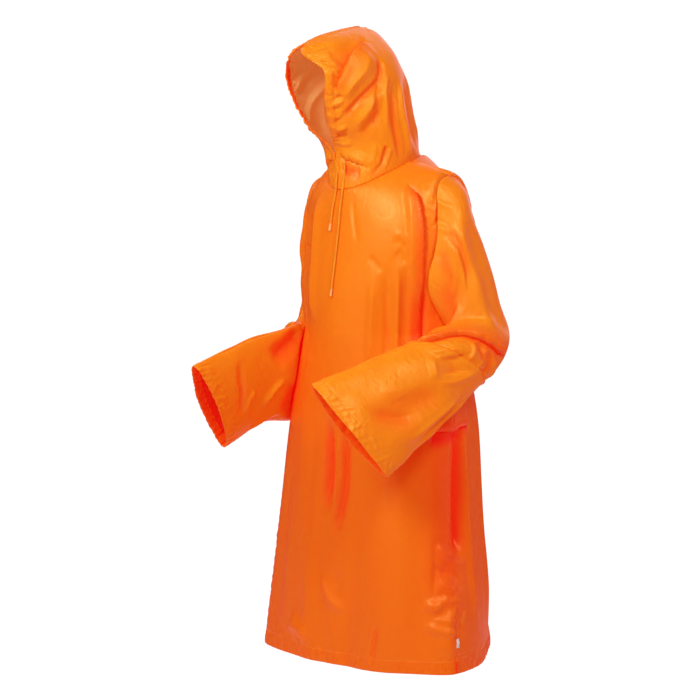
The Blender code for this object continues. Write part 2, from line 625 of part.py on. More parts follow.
def seam_pieces(front, back, sleeves, hoods):
    """Pull the edges of all pieces back from the seams that they share."""
    new_front, new_back = front, back
    new_sleeves, new_hoods, front_tops, back_tops = [], [], [], []
    for side, sleeve, hood in zip((1, -1), sleeves, hoods):
        edge = "last_column" if side > 0 else "first_column"
        front_gap, back_gap, ring_gap = seam_sleeve(front, back, sleeve, edge)
        new_front = pull_back(new_front, edge, front_gap)
        new_back = pull_back(new_back, edge, back_gap)
        new_sleeves.append(pull_back(sleeve, "first_row", ring_gap))
        front_top, back_top, hood_gap = seam_top(front, back, hood, side)
        front_tops.append(front_top)
        back_tops.append(back_top)
        new_hoods.append(pull_back(hood, "first_row", hood_gap))
    new_front = pull_back(new_front, "last_row", np.maximum(*front_tops))
    new_back = pull_back(new_back, "last_row", np.maximum(*back_tops))
    return new_front, new_back, new_sleeves, new_hoods


def cloth_piece(name, grid, material, collection, closed=False, flip=False, wall=WALL):
    """Cloth wall on a grid of points; closed joins the last column to the first."""
    rows, columns = grid.shape[:2]
    form = bmesh.new()
    corners = [[form.verts.new(point) for point in row] for row in grid]
    for i in range(rows - 1):
        for j in range(columns if closed else columns - 1):
            after = (j + 1) % columns
            around = [corners[i][j], corners[i][after], corners[i + 1][after], corners[i + 1][j]]
            form.faces.new(reversed(around) if flip else around)
    bmesh.ops.triangulate(form, faces=form.faces[:], quad_method="SHORT_EDGE")
    bmesh.ops.remove_doubles(form, verts=form.verts[:], dist=0.0001)
    mesh = bpy.data.meshes.new(name)
    form.to_mesh(mesh)
    form.free()
    mesh.shade_smooth()
    mesh.materials.append(material)
    piece = bpy.data.objects.new(name, mesh)
    collection.objects.link(piece)
    shell = piece.modifiers.new("wall", "SOLIDIFY")
    shell.thickness = wall
    shell.offset = 0.0
    shell.use_rim = True
    return piece


def make_cord(name, route, material, collection):
    """Round cord with filled caps along a route."""
    path = bpy.data.curves.new(name, "CURVE")
    path.dimensions = "3D"
    path.bevel_depth = 0.5 * CORD_DIAMETER
    path.bevel_resolution = 2
    path.use_fill_caps = True
    line = path.splines.new("POLY")
    line.points.add(len(route) - 1)
    for point, place in zip(line.points, route):
        point.co = (*place, 1.0)
    path.materials.append(material)
    cord = bpy.data.objects.new(name, path)
    collection.objects.link(cord)
    return cord


def make_tip(name, end, direction, material, collection):
    """Cord end: a short round tip below the cord, tapered a little."""
    form = bmesh.new()
    bmesh.ops.create_cone(form, cap_ends=True, segments=10, radius1=0.5 * TIP_DIAMETER,
                          radius2=0.5 * CORD_DIAMETER, depth=TIP_LENGTH)
    mesh = bpy.data.meshes.new(name)
    form.to_mesh(mesh)
    form.free()
    mesh.shade_smooth()
    mesh.set_sharp_from_angle(angle=math.radians(40.0))
    mesh.materials.append(material)
    tip = bpy.data.objects.new(name, mesh)
    collection.objects.link(tip)
    upright = -direction / np.linalg.norm(direction)
    middle = end - upright * (PIECE_GAP + 0.5 * TIP_LENGTH)
    tip.rotation_mode = "QUATERNION"
    tip.rotation_quaternion = quaternion_from_z(upright)
    tip.location = middle
    return tip


def quaternion_from_z(upright):
    """Turn that brings +Z onto a direction."""
    axis = np.cross((0.0, 0.0, 1.0), upright)
    size = np.linalg.norm(axis)
    if size < 1e-9:
        return (1.0, 0.0, 0.0, 0.0)
    angle = math.atan2(size, upright[2])
    axis = axis / size * math.sin(0.5 * angle)
    return (math.cos(0.5 * angle), *axis)


def front_profile(front, hood, x):
    """Height and depth of the outside at a sideways place, up the panel and then the hood."""
    strips = list(front) + [row[:HOOD_FRONT_COLUMNS] for row in hood[1:HOOD_FRONT_ROWS]]
    profile = []
    for strip in strips:
        strip = strip[np.argsort(strip[:, 0])]
        profile.append([np.interp(x, strip[:, 0], strip[:, k]) for k in (2, 1)])
    return np.array(profile)


def cord_route(front, hood, plan):
    """Route of a free end: it lies on the hood's front and then on the front panel."""
    lift = 0.5 * CORD_DIAMETER + 0.5 * WALL + CORD_CLEARANCE
    places = []
    for x, z in plan:
        profile = front_profile(front, hood, x)
        places.append((x, np.interp(z, profile[:, 0], profile[:, 1]) - lift, z))
    places = np.array(places)
    steps = np.linalg.norm(np.diff(places, axis=0), axis=1)
    stations = np.concatenate([[0.0], np.cumsum(steps)])
    count = round(stations[-1] / CORD_SPACING) + 1
    return through(stations, places, np.linspace(0.0, stations[-1], count))


def label_grid(back):
    """Label laid on the back panel beside the side seam, made from the panel's points."""
    heights = np.array([LABEL_Z, LABEL_Z + LABEL_LENGTH])
    seam = through(back[:, -1, 2], back[:, -1], heights)
    beside = through(back[:, -2, 2], back[:, -2], heights)
    along = beside - seam
    along /= np.linalg.norm(along, axis=1, keepdims=True)
    up = seam[1] - seam[0]
    out = np.cross(up, along[0])
    out /= np.linalg.norm(out)
    if out[0] < 0:
        out = -out
    near = seam + along * LABEL_INSET
    far = near + along * LABEL_WIDTH
    return np.stack([near, far], axis=1) + out * LABEL_LIFT


def main():
    """Build the poncho."""
    clear_scene()
    collection = make_collection(COLLECTION)
    cloth = {
        name: make_material(name + "_cloth", CLOTH_FINISH)
        for name in ("front_body", "back_body", "left_sleeve", "right_sleeve", "hood_left",
                     "hood_right")
    }
    cord = make_material("drawstring", CORD_FINISH)
    tip = make_material("drawstring_tip", TIP_FINISH)
    label = make_material("side_label", LABEL_FINISH)

    front, back = body_panels()
    sleeves = (sleeve_grid(front, back, LEFT_SLEEVE_SECTIONS, LEFT_SLEEVE_FOLDS, 1),
               sleeve_grid(front, back, RIGHT_SLEEVE_SECTIONS, RIGHT_SLEEVE_FOLDS, -1))
    hoods = (hood_half(1), hood_half(-1))
    front, back, sleeves, hoods = seam_pieces(front, back, sleeves, hoods)

    cloth_piece("front_body", front, cloth["front_body"], collection)
    cloth_piece("back_body", back, cloth["back_body"], collection, flip=True)
    cloth_piece("left_sleeve", sleeves[0], cloth["left_sleeve"], collection, closed=True)
    cloth_piece("right_sleeve", sleeves[1], cloth["right_sleeve"], collection, closed=True,
                flip=True)
    cloth_piece("hood_left", hoods[0], cloth["hood_left"], collection)
    cloth_piece("hood_right", hoods[1], cloth["hood_right"], collection, flip=True)

    ends = (("left", LEFT_CORD_ROUTE, hoods[0]), ("right", RIGHT_CORD_ROUTE, hoods[1]))
    for side, plan, hood in ends:
        route = cord_route(front, hood, plan)
        make_cord("drawstring_" + side, route, cord, collection)
        make_tip("drawstring_tip_" + side, route[-1], route[-1] - route[-2], tip, collection)
    cloth_piece("side_label", label_grid(back), label, collection, wall=LABEL_WALL)


main()
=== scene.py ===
"""Visual model of a hooded pullover rain poncho, hollow as worn.

Metres, +Z up. The wearer faces -Y and the wearer's left is +X. The origin is the middle of the
neck base, between the shoulders. Each cloth piece is a grid of points worked out from sections,
with its folds pressed in, its hems turned and its seam allowances tucked inside.
"""

import logging
import math
from dataclasses import dataclass, field
from enum import Enum

import bmesh
import bpy
import numpy as np
from bpy.types import Material, Mesh, Node, NodeSocket, NodeTree, Object
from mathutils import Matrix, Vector
from mathutils.kdtree import KDTree


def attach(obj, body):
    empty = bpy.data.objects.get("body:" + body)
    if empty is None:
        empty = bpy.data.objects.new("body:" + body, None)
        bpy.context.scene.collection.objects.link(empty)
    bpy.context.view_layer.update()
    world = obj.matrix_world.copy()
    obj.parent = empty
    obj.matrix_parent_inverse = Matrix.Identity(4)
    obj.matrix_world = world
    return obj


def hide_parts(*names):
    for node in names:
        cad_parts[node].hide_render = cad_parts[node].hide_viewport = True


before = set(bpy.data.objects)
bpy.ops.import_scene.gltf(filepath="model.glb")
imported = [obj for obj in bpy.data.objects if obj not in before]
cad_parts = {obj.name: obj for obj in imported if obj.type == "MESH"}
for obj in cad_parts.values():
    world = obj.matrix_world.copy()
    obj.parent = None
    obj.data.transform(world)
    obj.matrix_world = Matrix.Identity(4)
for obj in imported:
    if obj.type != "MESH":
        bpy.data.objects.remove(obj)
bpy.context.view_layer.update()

LOG = logging.getLogger("rain_poncho")
Array = np.ndarray
ROOT = "root"
TURN = 2 * math.pi
WHITE = (1.0, 1.0, 1.0, 1.0)
DEGREE = 0.0042         # cloth that one degree round the body takes up, in metres
LINE_WIDTH = 0.0022     # half width of the groove along a stitched line
THREAD_WIDTH = 0.0016   # half width of the thread in it
THREAD_INSET = 0.002    # how far the thread lies inside the band
FOLD_REACH = 3.2        # how far a fold acts on each side, in half widths
LAP_SHADE = -0.55       # where a lap is in shade, in half widths from its edge
HEM_ROWS = (1.0, 0.96, 0.80, 0.60, 0.40, 0.22, 0.08, 0.015)   # rows of a turned hem
HEM_BEND = 0.0015       # how near its edge a hem starts to bend, in metres
TURNED_SHADE = 0.5       # how much painted shade turned cloth takes
HOLLOW_SHADE = 0.6       # how much painted shade a deep hollow takes
SMOOTHINGS = 80         # how often the cloth is smoothed that hollows are found against
TUCK_ROWS = (0.006, 0.0008)   # how far in the rows of a seam allowance lie
# Threads of the wrinkling cloth: rows and columns that each spans, and how stiff it is
THREADS = ((0, 1, 1.0), (1, 0, 1.0), (1, 1, 0.35), (1, -1, 0.35), (0, 2, 0.16), (2, 0, 0.16))
ROUNDS = 130            # how often its points are moved
FACET = 0.014           # usual width of the small unevenness that wrinkles start from
FACET_HEIGHT = 0.0006   # its height in metres
KEEP = 0.80             # part of its movement that a point keeps in the next round
FOLLOW = 0.30           # part of the threads' pull that it follows
RETURN = 0.004          # part of its way back to the worn form that it goes
WAVES = 7               # how many waves the soft undulation is mixed from
CREASE_SETS = 6         # how many sets of parallel creases the crumple is mixed from
HELD = 0.85             # how firmly a stitched line holds the cloth, 1 is sewn down


class Side(Enum):
    """Side of the wearer; the value is the sign of X."""

    LEFT = 1
    RIGHT = -1


class Edge(Enum):
    """Edge of a grid of points; the value says whether it is a column, and the last one."""

    FIRST_ROW = (False, False)
    LAST_ROW = (False, True)
    FIRST_COLUMN = (True, False)
    LAST_COLUMN = (True, True)


class Profile(Enum):
    """Shape of a fold across its line."""

    TROUGH = "trough"
    RIDGE = "ridge"
    VALLEY = "valley"
    PLEAT = "pleat"
    CREASE = "crease"
    LAP = "lap"


TROUGH, RIDGE, VALLEY, PLEAT, CREASE, LAP = Profile


@dataclass(frozen=True)
class Fold:
    """One fold of the cloth, in its piece's own places.

    Attributes:
        name: What the fold is.
        profile: Its shape across.
        path: Places along it, as (across, along).
        half_width: Half of its width in metres.
        depth: How far it goes in or stands out, in metres.
        fade: Part of its length over which each end fades out.
        tone: How much painted shade the cloth takes along it, 0 to 1.
    """

    name: str
    profile: Profile
    path: tuple
    half_width: float
    depth: float
    fade: float = 0.3
    tone: float = 0.0


def folds(*rows: tuple) -> tuple:
    """Folds from a table whose second places, half widths and depths are in millimetres.

    Args:
        *rows: Name, profile, path, half width, depth, and the fade and the tone of painted shade if
               they matter.

    Returns:
        The folds, in metres.
    """
    return tuple(Fold(name, profile, tuple((across, along / 1000) for across, along in path),
                      half_width / 1000, depth / 1000, *rest)
                 for name, profile, path, half_width, depth, *rest in rows)


# ---- Curves and grids ----


def bell(at: Array, width: float) -> Array:
    """Smooth bump, 1 at 0 and 0.37 at its half width."""
    return np.exp(-((at / width) ** 2))


def rounded(values: Array, power: float) -> Array:
    """Values from -1 to 1 to a power, with their signs kept."""
    return np.sign(values) * np.abs(values) ** power


def full_turns(angles: Array, fold: Fold) -> Array:
    """Angles in degrees, each a full turn on or back if it is then nearer to a fold."""
    middle = np.mean([place[0] for place in fold.path])
    return (angles - middle + 180.0) % 360.0 - 180.0 + middle


def two_zones(ends: tuple, counts: tuple) -> Array:
    """Even places in two zones that meet, from the places of their ends and their counts."""
    start, middle, end = ends
    return np.concatenate([np.linspace(start, middle, counts[0] + 1)[:-1],
                           np.linspace(middle, end, counts[1] + 1)])


def ring_stations(rings: Array) -> Array:
    """Place of each ring along a tube, by the mean gap between rings."""
    gaps = np.linalg.norm(np.diff(rings, axis=0), axis=2).mean(axis=1)
    return np.concatenate([[0.0], np.cumsum(gaps)])


def ease(value: Array) -> Array:
    """Go smoothly from 0 to 1 as value does, and stay there outside."""
    value = np.clip(value, 0.0, 1.0)
    return value * value * (3.0 - 2.0 * value)


def through(stations: Array, rows: Array, at: Array) -> Array:
    """Smooth curve through rows of numbers.

    Args:
        stations: Rising or falling place of each row.
        rows: The rows, of any shape.
        at: Places to read the curve at.

    Returns:
        One row for each place.
    """
    stations = np.asarray(stations, float)
    rows = np.asarray(rows, float)
    if stations[0] > stations[-1]:
        stations, rows = stations[::-1], rows[::-1]
    wide = (1,) * (rows.ndim - 1)
    at = np.clip(np.atleast_1d(at).astype(float), stations[0], stations[-1])
    step = np.diff(stations)
    grow = np.diff(rows, axis=0) / step.reshape((-1,) + wide)
    slope = np.concatenate([grow[:1], 0.5 * (grow[:-1] + grow[1:]), grow[-1:]])
    low = np.clip(np.searchsorted(stations, at, side="right") - 1, 0, len(step) - 1)
    part = ((at - stations[low]) / step[low]).reshape((-1,) + wide)
    width = step[low].reshape((-1,) + wide)
    start = (1 + 2 * part) * (1 - part) ** 2 * rows[low]
    end = part ** 2 * (3 - 2 * part) * rows[low + 1]
    lean = part * (1 - part) ** 2 * slope[low] - part ** 2 * (1 - part) * slope[low + 1]
    return start + end + lean * width


def read_off(stations: Array, rows: Array, at: Array) -> Array:
    """Read rows of numbers at places between their stations, in straight steps."""
    return np.stack([np.interp(np.atleast_1d(at), stations, column) for column in rows.T], 1)


def even(curve: Array, fractions: Array) -> Array:
    """Read points off a polyline at fractions of its length."""
    run = lengths(curve)
    return read_off(run / run[-1], curve, fractions)


def lengths(points: Array) -> Array:
    """Length run along the first axis of points, from its start."""
    steps = np.linalg.norm(np.diff(points, axis=0), axis=-1)
    return np.concatenate([np.zeros_like(steps[:1]), np.cumsum(steps, axis=0)])


def unit(vectors: Array) -> Array:
    """Make vectors one metre long."""
    return vectors / np.maximum(np.linalg.norm(vectors, axis=-1, keepdims=True), 1e-9)


def facing(values: Array, edge: Edge) -> Array:
    """Turn a grid so that an edge becomes its first row.

    Args:
        values: The grid.
        edge: The edge.

    Returns:
        The turned grid.
    """
    column, last = edge.value
    values = values.swapaxes(0, 1) if column else values
    return values[::-1] if last else values


def unfacing(values: Array, edge: Edge) -> Array:
    """Turn a grid back that facing has turned."""
    column, last = edge.value
    values = values[::-1] if last else values
    return values.swapaxes(0, 1) if column else values


def phase(chance: np.random.Generator) -> float:
    """Where a wave starts, by chance."""
    return chance.uniform(0, 6.28)


def waver(along: Array, seed: int, sizes: tuple) -> Array:
    """Uneven, slightly sharp waves between about -1 and 1.

    Args:
        along: Places in metres.
        seed: Which waves.
        sizes: Wave lengths in metres.

    Returns:
        One height for each place.
    """
    chance = np.random.default_rng(seed)
    total = np.zeros_like(along)
    for size in sizes:
        drift = 1.4 * np.sin(TURN * along / (size * 4.3) + phase(chance))
        wave = np.arcsin(0.96 * np.sin(TURN * along / size + drift + phase(chance))) / 1.29
        strong = np.sin(TURN * along / (size * 6.7) + phase(chance))
        total += wave * (0.62 + 0.38 * strong)
    return total / math.sqrt(len(sizes))


def rumple(across: Array, along: Array, seed: int, size: tuple) -> Array:
    """Soft uneven undulation of cloth between about -1 and 1.

    Args:
        across: Places across the cloth in metres.
        along: Places along it in metres.
        seed: Which undulation.
        size: Usual wave length across and along.

    Returns:
        One height for each place.
    """
    chance = np.random.default_rng(seed)
    total = np.zeros_like(across)
    for _ in range(WAVES):
        turn = chance.uniform(0, TURN)
        wide = TURN * math.cos(turn) / size[0] * chance.uniform(0.7, 1.4)
        tall = TURN * math.sin(turn) / size[1] * chance.uniform(0.7, 1.4)
        bend = np.sin(wide * 0.6 * along + tall * 0.6 * across + phase(chance))
        total += np.sin(wide * across + tall * along + 1.1 * bend + phase(chance))
    return total / math.sqrt(0.5 * WAVES) * 0.6


def crumple(across: Array, along: Array, seed: int, size: float) -> Array:
    """Creases with flat facets between them, as in thin coated cloth.

    Args:
        across: Places across the cloth in metres.
        along: Places along it in metres.
        seed: Which creases.
        size: Usual width of a facet.

    Returns:
        One height for each place, between about -1 and 1.
    """
    chance = np.random.default_rng(seed)
    total = np.zeros_like(across)
    for k in range(CREASE_SETS):
        turn = math.pi * (k + chance.uniform(0.1, 0.9)) / CREASE_SETS
        length = size * chance.uniform(1.3, 3.2)
        wide, tall = math.cos(turn) / length, math.sin(turn) / length
        bend = 0.10 * np.sin(TURN * (tall * across - wide * along) * 0.7 + phase(chance))
        wave = np.sin(TURN * (wide * across + tall * along + bend) + phase(chance))
        wave = np.arcsin(0.985 * wave) / 1.4
        patch = np.sin(TURN * (tall * 0.31 * across - wide * 0.43 * along) + phase(chance))
        total += wave * (0.5 + 0.5 * patch)
    return total / math.sqrt(0.5 * CREASE_SETS)


def fold_heights(fold: Fold, across: Array, along: Array, scale: float) -> tuple:
    """Heights, sideways laps and painted shade that a fold gives to places on a piece.

    Args:
        fold: The fold.
        across: Places across the piece, in the fold's units.
        along: Places along the piece, in metres.
        scale: Metres for one unit across.

    Returns:
        Height, the lap across and along, each in metres, and the tone of painted shade.
    """
    path = np.array(fold.path, float)
    stations = np.linspace(0.0, 1.0, len(path))
    line = through(stations, path, np.linspace(0.0, 1.0, 6 * (len(path) - 1) + 1))
    line[:, 0] *= scale
    run = lengths(line)
    width = fold.half_width
    spots = np.stack([across * scale, along], -1)
    reach = FOLD_REACH * width
    near = ((spots > line.min(axis=0) - reach) & (spots < line.max(axis=0) + reach)).all(-1)
    x, y = spots[near].T
    nearest = np.full(x.shape, 1e9)
    signed, part, lean = np.zeros(x.shape), np.zeros(x.shape), np.zeros(x.shape + (2,))
    for k in range(len(line) - 1):
        start, step = line[k], line[k + 1] - line[k]
        length = max(float(np.hypot(*step)), 1e-9)
        at = np.clip(((x - start[0]) * step[0] + (y - start[1]) * step[1]) / length ** 2, 0, 1)
        off = np.hypot(x - start[0] - at * step[0], y - start[1] - at * step[1])
        closer = off < nearest
        side = np.sign(step[0] * (y - start[1]) - step[1] * (x - start[0]))
        nearest = np.where(closer, off, nearest)
        signed = np.where(closer, off * side, signed)
        part = np.where(closer, (run[k] + at * length) / run[-1], part)
        lean[closer] = (-step[1] / length, step[0] / length)
    fade = max(fold.fade, 1e-3)
    ends = ease(part / fade) * ease((1.0 - part) / fade)
    height, lap = profile_heights(fold.profile, signed / width)
    height, lap = height * fold.depth * ends, lap * fold.depth * ends
    middle = LAP_SHADE if fold.profile is LAP else 0.0
    # Painted shade along the fold, centred on the shaded side of a lap.
    tone = fold.tone * ends * np.exp(-((0.8 * (signed / width - middle)) ** 2))
    found = np.zeros((4,) + across.shape)
    found[:, near] = height, lap * lean[:, 0], lap * lean[:, 1], tone
    return tuple(found)


def profile_heights(profile: Profile, at: Array) -> tuple:
    """Height and lap of a fold of depth 1 at places across it, in half widths.

    Args:
        profile: Shape of the fold.
        at: Places across it, below 0 on one side.

    Returns:
        Height and lap towards the lower side.
    """
    lap = np.zeros(at.shape)
    off = np.abs(at)
    fading = ease((3.0 - off) / 1.6)
    tent = 1.08 - np.hypot(at, 0.08)
    tent = 0.5 * (tent + np.hypot(tent, 0.20)) / 1.009 * fading
    if profile in (TROUGH, RIDGE):
        height = bell(at, 1.0) * (-1 if profile is TROUGH else 1)
    elif profile in (VALLEY, PLEAT):
        height = tent * (-1 if profile is VALLEY else 1)
    elif profile is CREASE:
        height = 0.36 * bell(off - 1.10, 0.5) - np.exp(-(np.hypot(at, 0.10) - 0.10) * 2.2)
    else:
        over = 0.55 * np.exp(-off / 1.3) * fading
        under = -0.95 * np.exp(-off / 0.85) * fading
        height = under + (over - under) * ease((at + 0.14) / 0.28)
        lap = -0.85 * bell(at - 0.10, 0.42)
    return height, lap


@dataclass
class ClothGrid:
    """Points of one cloth piece in rows and columns.

    Attributes:
        points: Places, rows by columns by 3.
        flat: Place of each point on the flat cloth, in metres.
        outward: Sign that turns the grid's normals outwards.
        closed: Whether the last column joins the first.
        layers: How far each point lies in a turned hem, 0 to 1.
        thread: How near each point lies to a line of stitches, 0 to 1.
        tones: How much painted shade each point takes, 0 to 1.
    """

    points: Array
    flat: Array
    outward: float
    closed: bool = False
    layers: Array = field(init=False)
    thread: Array = field(init=False)
    tones: Array = field(init=False)

    def __post_init__(self) -> None:
        """Start with no hems, stitches or folds."""
        self.layers, self.thread, self.tones = np.zeros((3,) + self.points.shape[:2])

    def normals(self) -> Array:
        """Work out the normals of the points.

        Returns:
            One outward normal for each point.
        """
        down = np.gradient(self.points, axis=0)
        if self.closed:
            across = np.roll(self.points, -1, axis=1) - np.roll(self.points, 1, axis=1)
        else:
            across = np.gradient(self.points, axis=1)
        return unit(np.cross(across, down)) * self.outward

    def soft_normals(self, times: int = 6) -> Array:
        """Smooth the outward normals, so that a fold goes one way.

        Args:
            times: How often they are smoothed.

        Returns:
            One normal for each point.
        """
        normals = self.normals()
        for _ in range(times):
            normals = self.smoothed(normals)
        return unit(normals)

    def smoothed(self, values: Array) -> Array:
        """Average values of the grid with those beside them.

        Args:
            values: One value or vector for each point.

        Returns:
            The averaged values.
        """
        up = np.concatenate([values[:1], values[:-1]])
        down = np.concatenate([values[1:], values[-1:]])
        if self.closed:
            left, right = np.roll(values, 1, axis=1), np.roll(values, -1, axis=1)
        else:
            left = np.concatenate([values[:, :1], values[:, :-1]], axis=1)
            right = np.concatenate([values[:, 1:], values[:, -1:]], axis=1)
        return 0.25 * (up + down + left + right)

    def hollows(self) -> Array:
        """Find the painted shade of each point, from how deep it lies in a fold against the
        smoothed cloth.

        Returns:
            One amount of painted shade for each point, 0 to 1, at least what its folds and turned
            rows paint.
        """
        soft = self.points
        for _ in range(SMOOTHINGS):
            soft = self.smoothed(soft)
        below = ((soft - self.points) * self.soft_normals(2)).sum(-1)
        # Painted shade: points deep in a fold take the fold shade colour.
        deep = HOLLOW_SHADE * ease((below - 0.0020) / 0.0100)
        return np.maximum(deep * (1.0 - self.layers), self.tones)

    def lift(self, height: Array, outward: Array) -> None:
        """Move each point by a height in a direction."""
        self.points = self.points + height[..., None] * outward

    def from_edge(self, edge: Edge) -> Array:
        """Distance of each point from an edge, along the cloth."""
        return unfacing(lengths(facing(self.points, edge)), edge)

    def press(self, folds: tuple, across: Array, along: Array, scale: float,
              outward: Array) -> None:
        """Press folds into the cloth.

        Args:
            folds: The folds.
            across: Place of each point across the piece, in the folds' units.
            along: Place of each point along the piece, in metres.
            scale: Metres for one unit across.
            outward: Direction in which a ridge stands out.
        """
        to_right = unit(np.gradient(self.points, axis=1)) * np.sign(
            np.median(np.diff(across, axis=1)))
        to_end = unit(np.gradient(self.points, axis=0)) * np.sign(
            np.median(np.diff(along, axis=0)))
        move = np.zeros_like(self.points)
        for fold in folds:
            height, lap_across, lap_along, tone = fold_heights(fold, across, along, scale)
            # Each fold also paints shade along its line.
            self.tones = np.maximum(self.tones, tone)
            move += height[..., None] * outward
            move += lap_across[..., None] * to_right + lap_along[..., None] * to_end
        self.points = self.points + move

    def buckle(self, grow_across: Array, grow_along: Array, hold: Array, seed: int) -> None:
        """Let the cloth wrinkle where it is longer than the room it has.

        Each thread between two points is given its length, and the points are moved until the
        threads have it, while they are drawn back to the worn form.

        Args:
            grow_across: Extra length of the cross threads at each point, as a part.
            grow_along: The same of the long threads.
            hold: How firmly each point is held, 0 free to 1 sewn down.
            seed: Which small unevenness the wrinkles start from.
        """
        rounds = ROUNDS
        base = self.points.copy()
        free = (1.0 - hold)[..., None]
        seedling = crumple(self.flat[..., 0], self.flat[..., 1], seed, FACET)
        points = base + FACET_HEIGHT * (seedling * free[..., 0])[..., None] * self.normals()
        links = []
        for rows, columns, stiff in THREADS:
            apart = self.shifted(base, rows, columns) - base
            if rows and columns:
                more = 0.5 * (grow_across + grow_along)
            else:
                more = grow_across if columns else grow_along
            links.append((rows, columns, stiff, np.linalg.norm(apart, axis=-1) * (1.0 + more)))
        moved = np.zeros_like(points)
        for _ in range(rounds):
            push = np.zeros_like(points)
            for rows, columns, stiff, rest in links:
                apart = self.shifted(points, rows, columns) - points
                length = np.maximum(np.linalg.norm(apart, axis=-1), 1e-9)
                pull = (0.5 * stiff * (length - rest) / length)[..., None] * apart
                pull[self.beyond(rows, columns)] = 0.0
                push += pull - self.shifted(pull, -rows, -columns)
            moved = KEEP * moved + (FOLLOW * push + RETURN * (base - points)) * free
            points = points + moved
        self.points = points

    def shifted(self, values: Array, rows: int, columns: int) -> Array:
        """Values of the grid, each from some rows and columns further on."""
        if rows:
            values = np.roll(values, -rows, axis=0)
        return np.roll(values, -columns, axis=1) if columns else values

    def beyond(self, rows: int, columns: int) -> Array:
        """Find the points that have no neighbour further on.

        Args:
            rows: How many rows further on.
            columns: How many columns further on, or back if below 0.

        Returns:
            A mask of the points.
        """
        mask = np.zeros(self.points.shape[:2], bool)
        if rows:
            mask[-rows:] = True
        if columns > 0 and not self.closed:
            mask[:, -columns:] = True
        if columns < 0 and not self.closed:
            mask[:, :-columns] = True
        return mask

    def stitched_band(self, edge: Edge, width: float, along: Array, seed: int,
                      pucker: float) -> None:
        """Shape a turned and stitched band along an edge, before it is turned.

        Args:
            edge: The edge that the band runs along.
            width: Width of the band in metres.
            along: Place along the edge of each point, in metres.
            seed: Which puckers.
            pucker: Height of the puckers in metres.
        """
        away = self.from_edge(edge)
        inside = ease((width + 0.002 - away) / 0.004)
        line = bell(away - width, LINE_WIDTH)
        waves = waver(along + 0.25 * away, seed, (0.012, 0.019, 0.031))
        swell = bell(away - 0.55 * width, 0.75 * width)
        facets = crumple(along, away, seed + 1, 0.011) * np.exp(-((away / (1.4 * width)) ** 4))
        uneven = 0.35 + 0.65 * ease(0.5 + 0.8 * waver(along, seed + 2, (0.11, 0.17)))
        height = pucker * uneven * (0.5 * swell * waves + 1.3 * facets)
        self.lift(height + 0.0003 * inside - 0.0006 * line, self.soft_normals(2))
        self.layers = np.maximum(self.layers, inside)
        self.thread = np.maximum(self.thread, bell(away - width + THREAD_INSET, THREAD_WIDTH))

    def turn_hem(self, edge: Edge, width: float, inset: float = 0.0016) -> None:
        """Turn an edge to the inside as a hem.

        Args:
            edge: The edge that is turned.
            width: Width of the turned cloth in metres.
            inset: Distance of the turned cloth from the outer layer.
        """
        points, normals = facing(self.points, edge), facing(self.soft_normals(2), edge)
        flat = facing(self.flat, edge)
        run = lengths(points)
        column = np.arange(run.shape[1])
        strip, strip_flat = [], []
        for part in HEM_ROWS:
            reach = part * width
            row = np.argmax(run >= reach, axis=0), column
            low = np.maximum(row[0] - 1, 0), column
            mix = ((reach - run[low]) / np.maximum(run[row] - run[low], 1e-9))[:, None]
            place = points[low] * (1 - mix) + points[row] * mix
            normal = unit(normals[low] * (1 - mix) + normals[row] * mix)
            depth = inset * math.sqrt(min(1.0, reach / HEM_BEND))
            strip.append(place - normal * depth)
            strip_flat.append(flat[0] - (flat[1] - flat[0]) * reach
                              / np.maximum(run[1], 1e-6)[:, None])
        self.extend(edge, strip, strip_flat, np.ones((len(strip), len(column))))

    def tuck(self, edge: Edge) -> None:
        """Turn a seam allowance in from a sewn edge.

        Args:
            edge: The sewn edge.
        """
        points, normals = facing(self.points, edge), facing(self.soft_normals(2), edge)
        flat, layers = facing(self.flat, edge), facing(self.layers, edge)
        inward = unit(-normals[0] + 0.35 * unit(points[1] - points[0]))
        strip = [points[0] + inward * width for width in TUCK_ROWS]
        beyond = [flat[0] - unit(flat[1] - flat[0]) * width for width in TUCK_ROWS]
        self.extend(edge, strip, beyond, np.repeat(layers[:1], len(TUCK_ROWS), axis=0))

    def extend(self, edge: Edge, points: list, flat: list, layers: Array) -> None:
        """Add rows of points beyond an edge.

        Args:
            edge: The edge.
            points: The new rows, the one furthest out first.
            flat: Their places on the flat cloth.
            layers: How far they lie in a turned hem.
        """
        thread = np.zeros(layers.shape)
        # Turned and tucked rows take painted shade.
        tones = thread + TURNED_SHADE
        rows = {"points": points, "flat": flat, "layers": layers, "thread": thread,
                "tones": tones}
        for name, values in rows.items():
            grown = np.concatenate([np.array(values), facing(getattr(self, name), edge)])
            setattr(self, name, unfacing(grown, edge))


# ---- Finishes ----


def new_group(name: str, inputs: dict, outputs: tuple) -> tuple:
    """Start a shader node group.

    Args:
        name: Name of the group.
        inputs: Default of each input by its name; a tuple makes it a colour.
        outputs: Name of each output; one named Color is a colour.

    Returns:
        The group, its input node and its output node.
    """
    group = bpy.data.node_groups.new(name, "ShaderNodeTree")
    for label, default in inputs.items():
        kind = "NodeSocketColor" if isinstance(default, tuple) else "NodeSocketFloat"
        socket = group.interface.new_socket(label, in_out="INPUT", socket_type=kind)
        socket.default_value = default
    for label in outputs:
        kind = "NodeSocketColor" if label == "Color" else "NodeSocketFloat"
        group.interface.new_socket(label, in_out="OUTPUT", socket_type=kind)
    return group, group.nodes.new("NodeGroupInput"), group.nodes.new("NodeGroupOutput")


def new_finish(name: str, **values: object) -> tuple:
    """Start a material.

    Args:
        name: Name of the material.
        **values: Inputs of its shader by name, with _ for a space.

    Returns:
        The material, its node tree and its shader.
    """
    made = bpy.data.materials.new(name)
    made.use_nodes = True
    tree = made.node_tree
    return made, tree, feed(tree, tree.nodes["Principled BSDF"], **values)


